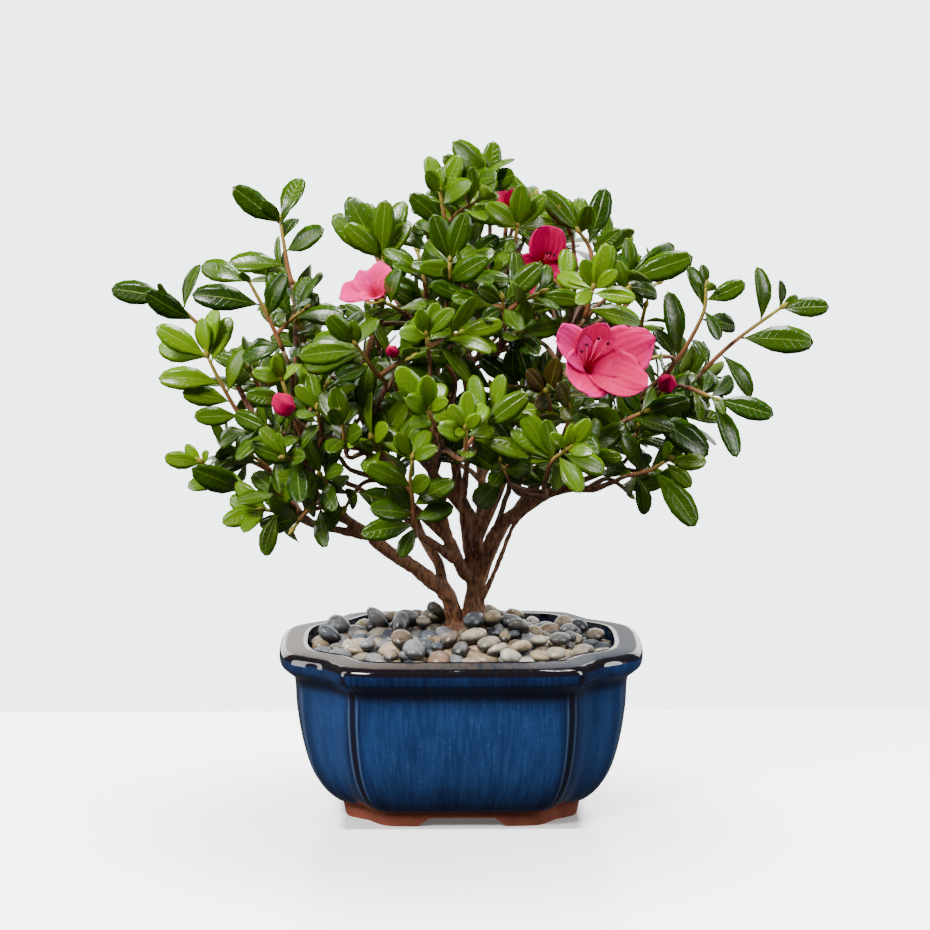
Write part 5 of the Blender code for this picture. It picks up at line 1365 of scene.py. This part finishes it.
def build_bud(name, foot, facing, length, width):
    """Rings along the bud's axis: radius is the profile times 1 + a ridge that winds round it."""
    axis = unit(facing)
    foot = np.asarray(foot, float)
    profile = smooth_path(BUD_PROFILE, 3)
    sides = BUD_SIDES
    normals = frames(foot + axis * np.array((0.0, 1.0, 2.0))[:, None])[0]
    turn = turns(sides)
    winding = turn[None, :] * 5 + profile[:, :1] * 5.5
    radius = width / 2 * profile[:, 1:] * (1 + 0.1 * np.cos(winding))
    ring = np.cos(turn)[None, :, None] * normals[0] + np.sin(turn)[None, :, None] * normals[1]
    rings = foot + axis * (BUD_FOOT + length * profile[:, 0])[:, None, None] + radius[..., None] * ring
    stalk = rod(foot + axis * np.linspace(GAP / 2, BUD_FOOT + 1.4, 6)[:, None], BUD_STALK, STALK_SIDES)
    points, faces = joined([(rings.reshape(-1, 3), closed_faces(len(profile), sides)), stalk])
    wrap = len(rings) * sides
    along = np.append(np.repeat(profile[:, 0], sides), np.zeros(len(stalk[0])))
    kind = np.append(np.zeros(wrap), np.full(len(stalk[0]), 2.0))
    wrapped = np.tile(np.cos(turn * 2.5 + 1.0), len(rings))
    across = np.append(wrapped, np.zeros(len(stalk[0])))
    bud = new_piece(name + "_petals", points, faces, along=1 - 0.75 * along, across=across, kind=kind,
                    pale=np.full(len(points), 0.1))
    dress(bud, PETAL_SKIN, "petal", name)
    return points, faces


BUD_SHAPES = [build_bud(*bud) for bud in BUDS]

# Leafy shoots
# This year's growth: thin stems, green at the tip, with small, glossy, oval leaves set all round
# and crowded at the tip. Old leaves are dark; young ones are broad, short and yellow-green.
LEAF_ROWS = 8
LEAF_COLUMNS = 5
LEAF_THICKNESS = 0.45
LEAF_SHORT = (8.0, 0.54)
LEAF_LONG = (28.0, 0.4)
LEAF_ROOT_CLEAR = 2.0
LEAF_TILT = (0.1, 0.42)
# see-through places of the crown from the front, in the plane of the pot's middle: x, z, radius
SKY_HOLES = (
    (-56.3, 250.5, 11), (-48.1, 243.5, 5.5), (-64.5, 252.2, 9), (86.8, 225.9, 11), (80.3, 219.7, 8),
    (93.7, 232.8, 7), (-20.3, 275.5, 8.6), (-26.3, 269.5, 6), (-15.9, 281.6, 5), (39.5, 275.5, 8),
    (52.9, 273.3, 7.5), (32.9, 280.7, 5), (-113.0, 162.3, 6), (-21.2, 246.9, 6), (11.7, 289.3, 4.5),
    (-51.9, 264.3, 5), (-9.0, 288.5, 4), (66.4, 147.2, 5), (-86.7, 209.5, 5), (11.4, 189.5, 5),
    (51.6, 126.7, 12), (37.1, 125.4, 9), (67.9, 128.0, 9), (-75.0, 111.8, 9), (80.3, 124.8, 8),
    (-51.1, 117.1, 6), (-86.3, 247.0, 4), (-108.5, 139.6, 4), (81.1, 229.4, 4), (-25.5, 262.1, 4),
    (121.3, 192.4, 4), (-52.8, 254.8, 4), (50.0, 137.0, 4), (37.8, 250.3, 6.5), (32.2, 240.8, 6.5),
    (28.8, 237.3, 5), (-41.7, 231.3, 7), (-36.0, 234.8, 6), (-45.6, 227.8, 6),
    (64.7, 145.9, 5.5), (86.4, 136.5, 4.5), (12.3, 190.8, 4), (-87.3, 148.5, 3.5), (-46.5, 147.5, 3.5),
    (-64.3, 116.2, 4.5), (-14.1, 126.0, 3.5), (-10.5, 121.9, 3), (-18.6, 246.1, 3.5),
    (81.1, 227.6, 4.5), (9.5, 297.5, 7), (18.3, 270.8, 4),
)
STEM_RADII = (1.1, 0.75)
BRONZE_SPOT = (36.0, -48.0, 189.0)
BRONZE_REACH = 17.0
GOLDEN_ANGLE = math.radians(137.5)
CROWN_BACK = 70.0
LEAF_TURNS = ((0, 0), (0, 12), (12, 0), (-12, 0), (0, -12), (24, 0), (-24, 0), (0, 24), (24, 18), (-24, 18),
              (36, 0), (-36, 0), (0, -24), (36, 24), (-36, 24), (50, 10), (-50, 10))
LEAF_DARK = (0.008, 0.024, 0.001)
LEAF_MID = (0.027, 0.074, 0.002)
LEAF_YOUNG = (0.16, 0.31, 0.002)
LEAF_BRONZE = (0.045, 0.014, 0.005)
RIB_PALE = (0.3, 0.4, 0.04)
UNDER_GREEN = (0.16, 0.24, 0.03)
STEM_BROWN = (0.24, 0.09, 0.03)
STEM_GREEN = (0.3, 0.24, 0.03)
# the stand-in's plan: share of the length, share of the width, share of the length that it rises
PROXY_PLAN = ((0.12, 0, 0), (0.56, 0.5, 0.06), (1, 0, 0), (0.56, -0.5, 0.06))
PROXY_FACES = [(0, 1, 3), (1, 2, 3), (7, 5, 4), (7, 6, 5), (0, 4, 5, 1), (1, 5, 6, 2), (2, 6, 7, 3),
               (3, 7, 4, 0)]


def in_sky_hole(spot):
    """Whether a spot, seen from the camera, falls in a see-through place of the crown."""
    eye = np.array(CAMERA)
    seen = eye + (spot - eye) * eye[1] / (eye[1] - spot[1])
    return any(math.hypot(seen[0] - x, seen[2] - z) < radius for x, z, radius in SKY_HOLES)


def leaf_width(length):
    share = np.interp(length, (LEAF_SHORT[0], LEAF_LONG[0]), (LEAF_SHORT[1], LEAF_LONG[1]))
    return length * share


def upper_way(axis, root, along, forward):
    """The way a leaf's upper face looks: partly along its shoot, up, and out of the crown."""
    outward = unit((root[0], root[1] - CROWN_BACK, 0.0))
    want = 0.45 * axis + 0.9 * outward + np.array((0.0, -forward, 0.3))
    if np.linalg.norm(np.cross(want, along)) < 0.25:
        want = want + np.array((0.4, 0.0, 0.6))
    return want


def path_place(points, share):
    """Place and heading at a share of the way along a path, kept off its lower end."""
    points = np.asarray(points, float)
    steps = np.linalg.norm(np.diff(points, axis=0), axis=1)
    total = steps.sum()
    reach = min(max(share * total, LEAF_ROOT_CLEAR), total - 0.5)
    k = int(np.searchsorted(np.cumsum(steps), reach))
    start = np.cumsum(steps)[k] - steps[k]
    way = (points[k + 1] - points[k]) / steps[k]
    return points[k] + way * (reach - start), way


def rule_leaves(stem, number, draw, first=0.12):
    """Leaves round a stem by the golden angle: spread low down, upright and shorter at the tip."""
    stem = np.asarray(stem, float)
    normals = frames(stem)
    start = draw.uniform(0, 2 * math.pi)
    rows = []
    for k in range(number):
        share = first + (1 - first) * ((k + 0.5) / number) ** 0.7
        spot, way = path_place(stem, share)
        angle = start + k * GOLDEN_ANGLE
        side = math.cos(angle) * normals[0][0] + math.sin(angle) * normals[0][1]
        spread = math.radians(80 - 44 * k / number + draw.uniform(-8, 8))
        length = 26 - 10 * k / number + draw.uniform(-3, 2)
        way = unit(math.cos(spread) * way + math.sin(spread) * side + np.array((0, 0, 0.12)))
        rows.append((share, *(spot + way * length)))
    return rows


def proxy(root, tip, upper, width):
    """A thick four-cornered stand-in for a leaf, to find what it would run into."""
    along = tip - root
    length = np.linalg.norm(along)
    along = along / length
    upper = unit(upper - along * (upper @ along))
    across = np.cross(along, upper)
    plan = np.array(PROXY_PLAN)
    middle = root + np.outer(plan[:, 0] * length, along) + np.outer(plan[:, 2] * length, upper)
    middle += np.outer(plan[:, 1] * width, across)
    return np.vstack((middle + upper * 0.5, middle - upper * 0.5)), PROXY_FACES


def obstacle(shape):
    """A shape ready to be tested against: its search tree and its box."""
    points, faces = shape
    tree = BVHTree.FromPolygons([Vector(p) for p in points], [tuple(face) for face in faces])
    return tree, points.min(axis=0), points.max(axis=0)


def crosses(shape, obstacles):
    low, high = shape[0].min(axis=0), shape[0].max(axis=0)
    tree = None
    for other, other_low, other_high in obstacles:
        if (low > other_high).any() or (high < other_low).any():
            continue
        tree = tree or obstacle(shape)[0]
        if tree.overlap(other):
            return True
    return False


def free_leaf(root, tip, axis, tilt, forward, obstacles):
    """Root, tip and upper way of the leaf, turned no further than it must be to clear the rest."""
    reach = tip - root
    across = np.cross(reach, axis)
    if np.linalg.norm(across) < 1e-3:
        across = np.cross(reach, (1, 0, 0))
    across = unit(across)
    for round_axis, lift in LEAF_TURNS:
        turn = Matrix.Rotation(math.radians(lift), 3, Vector(across))
        turn = Matrix.Rotation(math.radians(round_axis), 3, Vector(axis)) @ turn
        along = np.array(turn @ Vector(reach))
        heading = unit(along)
        upper = upper_way(axis, root, heading, forward)
        upper = unit(upper - heading * (upper @ heading))
        upper = upper * math.cos(tilt) + np.cross(heading, upper) * math.sin(tilt)
        shape = proxy(root, root + along, upper, leaf_width(np.linalg.norm(along)))
        if not crosses(shape, obstacles):
            return root, root + along, upper, shape
    return None


def leaf_blades(leaves, draw):
    """All the leaves of a shoot as closed blades.

    With u from root to tip and v from edge to edge, a point is root + u along + v half-width
    across + the lift along the upper way. Half-width is a short stalk, then a sine up to the
    widest place, and beyond it the root of 1 - t ** 1.7, which makes a blunt tip. Lift is an arch
    over u, a fold that raises both edges and a droop at the tip. The lower face is the same, one
    thickness down.
    """
    root, tip, upper = (np.array([leaf[k] for leaf in leaves]) for k in range(3))
    count = len(leaves)
    along = tip - root
    length = np.linalg.norm(along, axis=1)[:, None]
    along = along / length
    upper = upper - along * (upper * along).sum(axis=1)[:, None]
    upper /= np.linalg.norm(upper, axis=1)[:, None]
    across = np.cross(along, upper)
    u = np.array((0.0, 0.08, 0.22, 0.42, 0.63, 0.82, 0.94, 1.0))
    v = np.linspace(-1, 1, LEAF_COLUMNS)
    blade = np.clip((u - 0.07) / 0.93, 0, 1)
    low = np.sin(math.pi / 2 * np.clip(blade / 0.57, 0, 1)) ** 1.1
    half = low * np.sqrt(1 - np.clip((blade - 0.57) / 0.44, 0, 1) ** 1.7)
    half = np.maximum(half, 0.07) * (1 - 0.97 * (u == 1.0))
    half = leaf_width(length) / 2 * half[None, :]
    arch = draw.uniform(0.02, 0.09, (count, 1)) * length * np.sin(math.pi * u)[None, :]
    droop = draw.uniform(-0.02, 0.1, (count, 1)) * length * (u ** 3)[None, :]
    fold = draw.uniform(0.1, 0.34, (count, 1))
    lift = (arch - droop)[:, :, None] + (fold * half)[:, :, None] * (np.abs(v) - 0.45 * v ** 2)[None, None, :]
    sway = draw.normal(0, 0.03, (count, 1)) * length * (u ** 2)[None, :]
    side = half[:, :, None] * v + sway[:, :, None]
    grid = root[:, None, None] + (length * u)[..., None, None] * along[:, None, None]
    grid = grid + side[..., None] * across[:, None, None] + lift[..., None] * upper[:, None, None]
    faces, above = plate_faces(LEAF_ROWS, LEAF_COLUMNS)
    top = grid.reshape(count, -1, 3)
    bottom = top[:, above] - upper[:, None] * LEAF_THICKNESS
    points = np.concatenate((top, bottom), axis=1)
    size = points.shape[1]
    quads = (faces[None] + (np.arange(count) * size)[:, None, None]).reshape(-1, 4)
    u_all = np.repeat(u, LEAF_COLUMNS)
    v_all = np.tile(v * 0.5 + 0.5, LEAF_ROWS)
    u_all, v_all = np.append(u_all, u_all[above]), np.append(v_all, v_all[above])
    under = np.repeat((0.0, 2.0), len(faces) // 2)[:, None]
    uv = np.stack((u_all[faces], v_all[faces] + under), axis=-1)
    return points.reshape(-1, 3), quads, np.tile(uv.reshape(-1, 2), (count, 1))


def grow_shoot(youth, stem, rows, placed, others, draw):
    """A shoot's shape (points, faces, corner UVs, tone, young, bronze) and its leaves' stand-ins."""
    stem = np.array(stem, float)
    stem[0] += unit(stem[1] - stem[0]) * GAP / 2
    leaves, grown = [], []
    for share, *tip in rows:
        root, axis = path_place(stem, share)
        tilt = draw.normal(0, LEAF_TILT[0 if placed else 1])
        leaf = free_leaf(root, np.array(tip, float), axis, tilt, float(placed), others)
        if leaf and (placed or not any(in_sky_hole(root + (leaf[1] - root) * share) for share in (0.55, 0.85))):
            leaves.append((*leaf[:3], share))
            grown.append(obstacle(leaf[3]))
    path = smooth_path(stem, 4)
    way = unit(stem[-1] - stem[-2])
    bud_path = stem[-1] + np.outer(np.linspace(-0.6, 4.2, 6), way)
    points, faces = joined([rod(path, np.linspace(*STEM_RADII, len(path)), 7),
                            rod(bud_path, (0.6, 1.1, 1.35, 1.15, 0.65, 0.12), 7)])
    uv = np.tile((0.5, 5.5), (sum(len(face) for face in faces), 1))
    tone = np.clip(np.linalg.norm(points - stem[0], axis=1) / np.linalg.norm(stem[-1] - stem[0]), 0, 1)
    young, bronze = np.full(len(points), youth), np.zeros(len(points))
    if leaves:
        blades, quads, blade_uv = leaf_blades(leaves, draw)
        size = len(blades) // len(leaves)
        shares = np.array([leaf[3] for leaf in leaves])
        age = np.clip(youth * (0.35 + 0.75 * shares ** 2) + draw.normal(0, 0.09, len(leaves)), 0, 1)
        faces = quads.tolist() + [[index + len(blades) for index in face] for face in faces]
        points, uv = np.vstack((blades, points)), np.vstack((blade_uv, uv))
        tone = np.append(np.repeat(draw.uniform(0, 1, len(leaves)), size), tone)
        young = np.append(np.repeat(age, size), young)
        off = np.linalg.norm([np.subtract(leaf[0] * 0.5 + leaf[1] * 0.5, BRONZE_SPOT) for leaf in leaves], axis=1)
        bronze = np.append(np.repeat(np.clip(2 - 2 * off / BRONZE_REACH, 0, 1), size), bronze)
    return (points, faces, uv, tone, young, bronze), grown


def build_shoots():
    """Grow every shoot clear of the wood and of the shoots before it, and make one piece of each."""
    draw = np.random.default_rng(12)
    pick = random.Random(5)
    fixed = [obstacle(shape) for shape in TWIG_SHAPES + BLOOM_SHAPES + BUD_SHAPES]
    for points, start, end in LIMBS:
        fixed.append(obstacle(rod(smooth_path(points, 2), np.linspace(start, end, 2 * len(points) - 1), 6)))
    shoots = all_shoots()
    stems = [obstacle(rod(np.array(stem, float), np.linspace(*STEM_RADII, len(stem)), 4))
             for _, _, stem, _ in shoots]
    shapes = {}
    grown = []
    for number, (name, youth, stem, rows) in enumerate(shoots):
        placed = not isinstance(rows, int)
        if not placed:
            rows = rule_leaves(stem, rows, pick)
        others = fixed + stems[:number] + stems[number + 1:] + grown
        shape, blades = grow_shoot(youth, stem, rows, placed, others, draw)
        grown += blades
        shapes.setdefault(name, []).append(shape)
    for name, parts in shapes.items():
        points, faces = joined([part[:2] for part in parts])
        uv, tone, young, bronze = (np.concatenate([part[k] for part in parts]) for k in (2, 3, 4, 5))
        node = [name] if name in frame["nodes"] else []
        shoot = new_piece(name + "_leaves" if node else name, points, faces, uv, tone=tone, young=young,
                          bronze=bronze)
        dress(shoot, LEAF_SKIN, "leaf", *node)


def leaf_skin():
    """Leaf and soft stem in one material.

    The UV map runs from root to tip in u and edge to edge in v: v is 0 to 1 on the upper face, 2 to
    3 on the lower one and above 5 on the stem. tone goes from dark to mid green and young on to
    yellow-green; on the stem tone is the way up. The margins carry a painted highlight.
    """
    f = Finish("leaf_skin", Subsurface_Weight=0.12, Subsurface_Scale=0.0012, IOR=1.46)
    f.shader.inputs["Subsurface Radius"].default_value = (0.5, 1.0, 0.12)
    uv = f.node("ShaderNodeTexCoord", {}, {}, "UV")
    u, v = f.part(uv, 0), f.part(uv, 1)
    under = v.step(1.4, 1.6)
    stem = v.step(4.4, 4.6)
    across = ((v - under * 2.0 - 0.5) * 2.0).size()
    tone, young = f.attribute("tone"), f.attribute("young")
    patch = f.noise(f.place(), 210.0, 3.0, 0.55)
    fine = f.noise(f.place(), 1800.0, 3.0, 0.6)
    colour = f.blend(tone * 0.62 + patch.step(0.35, 0.7) * 0.3, LEAF_DARK, LEAF_MID)
    colour = f.blend(young, colour, LEAF_YOUNG)
    colour = f.blend(f.attribute("bronze") * 0.85, colour, LEAF_BRONZE)
    # painted highlight: the margins of each blade are coloured lighter
    colour = f.blend(across.step(0.75, 1.0) * 0.3, colour, LEAF_MID)
    rib = across.step(0.075, 0.02)
    veins = ((u * 60.0 - across * 9.0).sine()).step(0.75, 1.0) * across.step(0.95, 0.6)
    colour = f.blend(rib * 0.3 + veins * 0.04, colour, RIB_PALE)
    colour = f.blend(under * 0.5, colour, UNDER_GREEN)
    wood = f.blend(tone.step(0.35, 1.0), STEM_BROWN, STEM_GREEN)
    colour = f.blend(stem, colour, wood)
    height = rib * -0.6 + veins * -0.25 + patch * 0.3 + fine * 0.05
    rough = under * 0.3 + stem * 0.2 + patch * 0.14 + 0.16
    return f.feed(Base_Color=colour, Roughness=rough, Normal=f.bump(height, 0.5, 0.0005))


LEAF_SKIN = leaf_skin()
build_shoots()
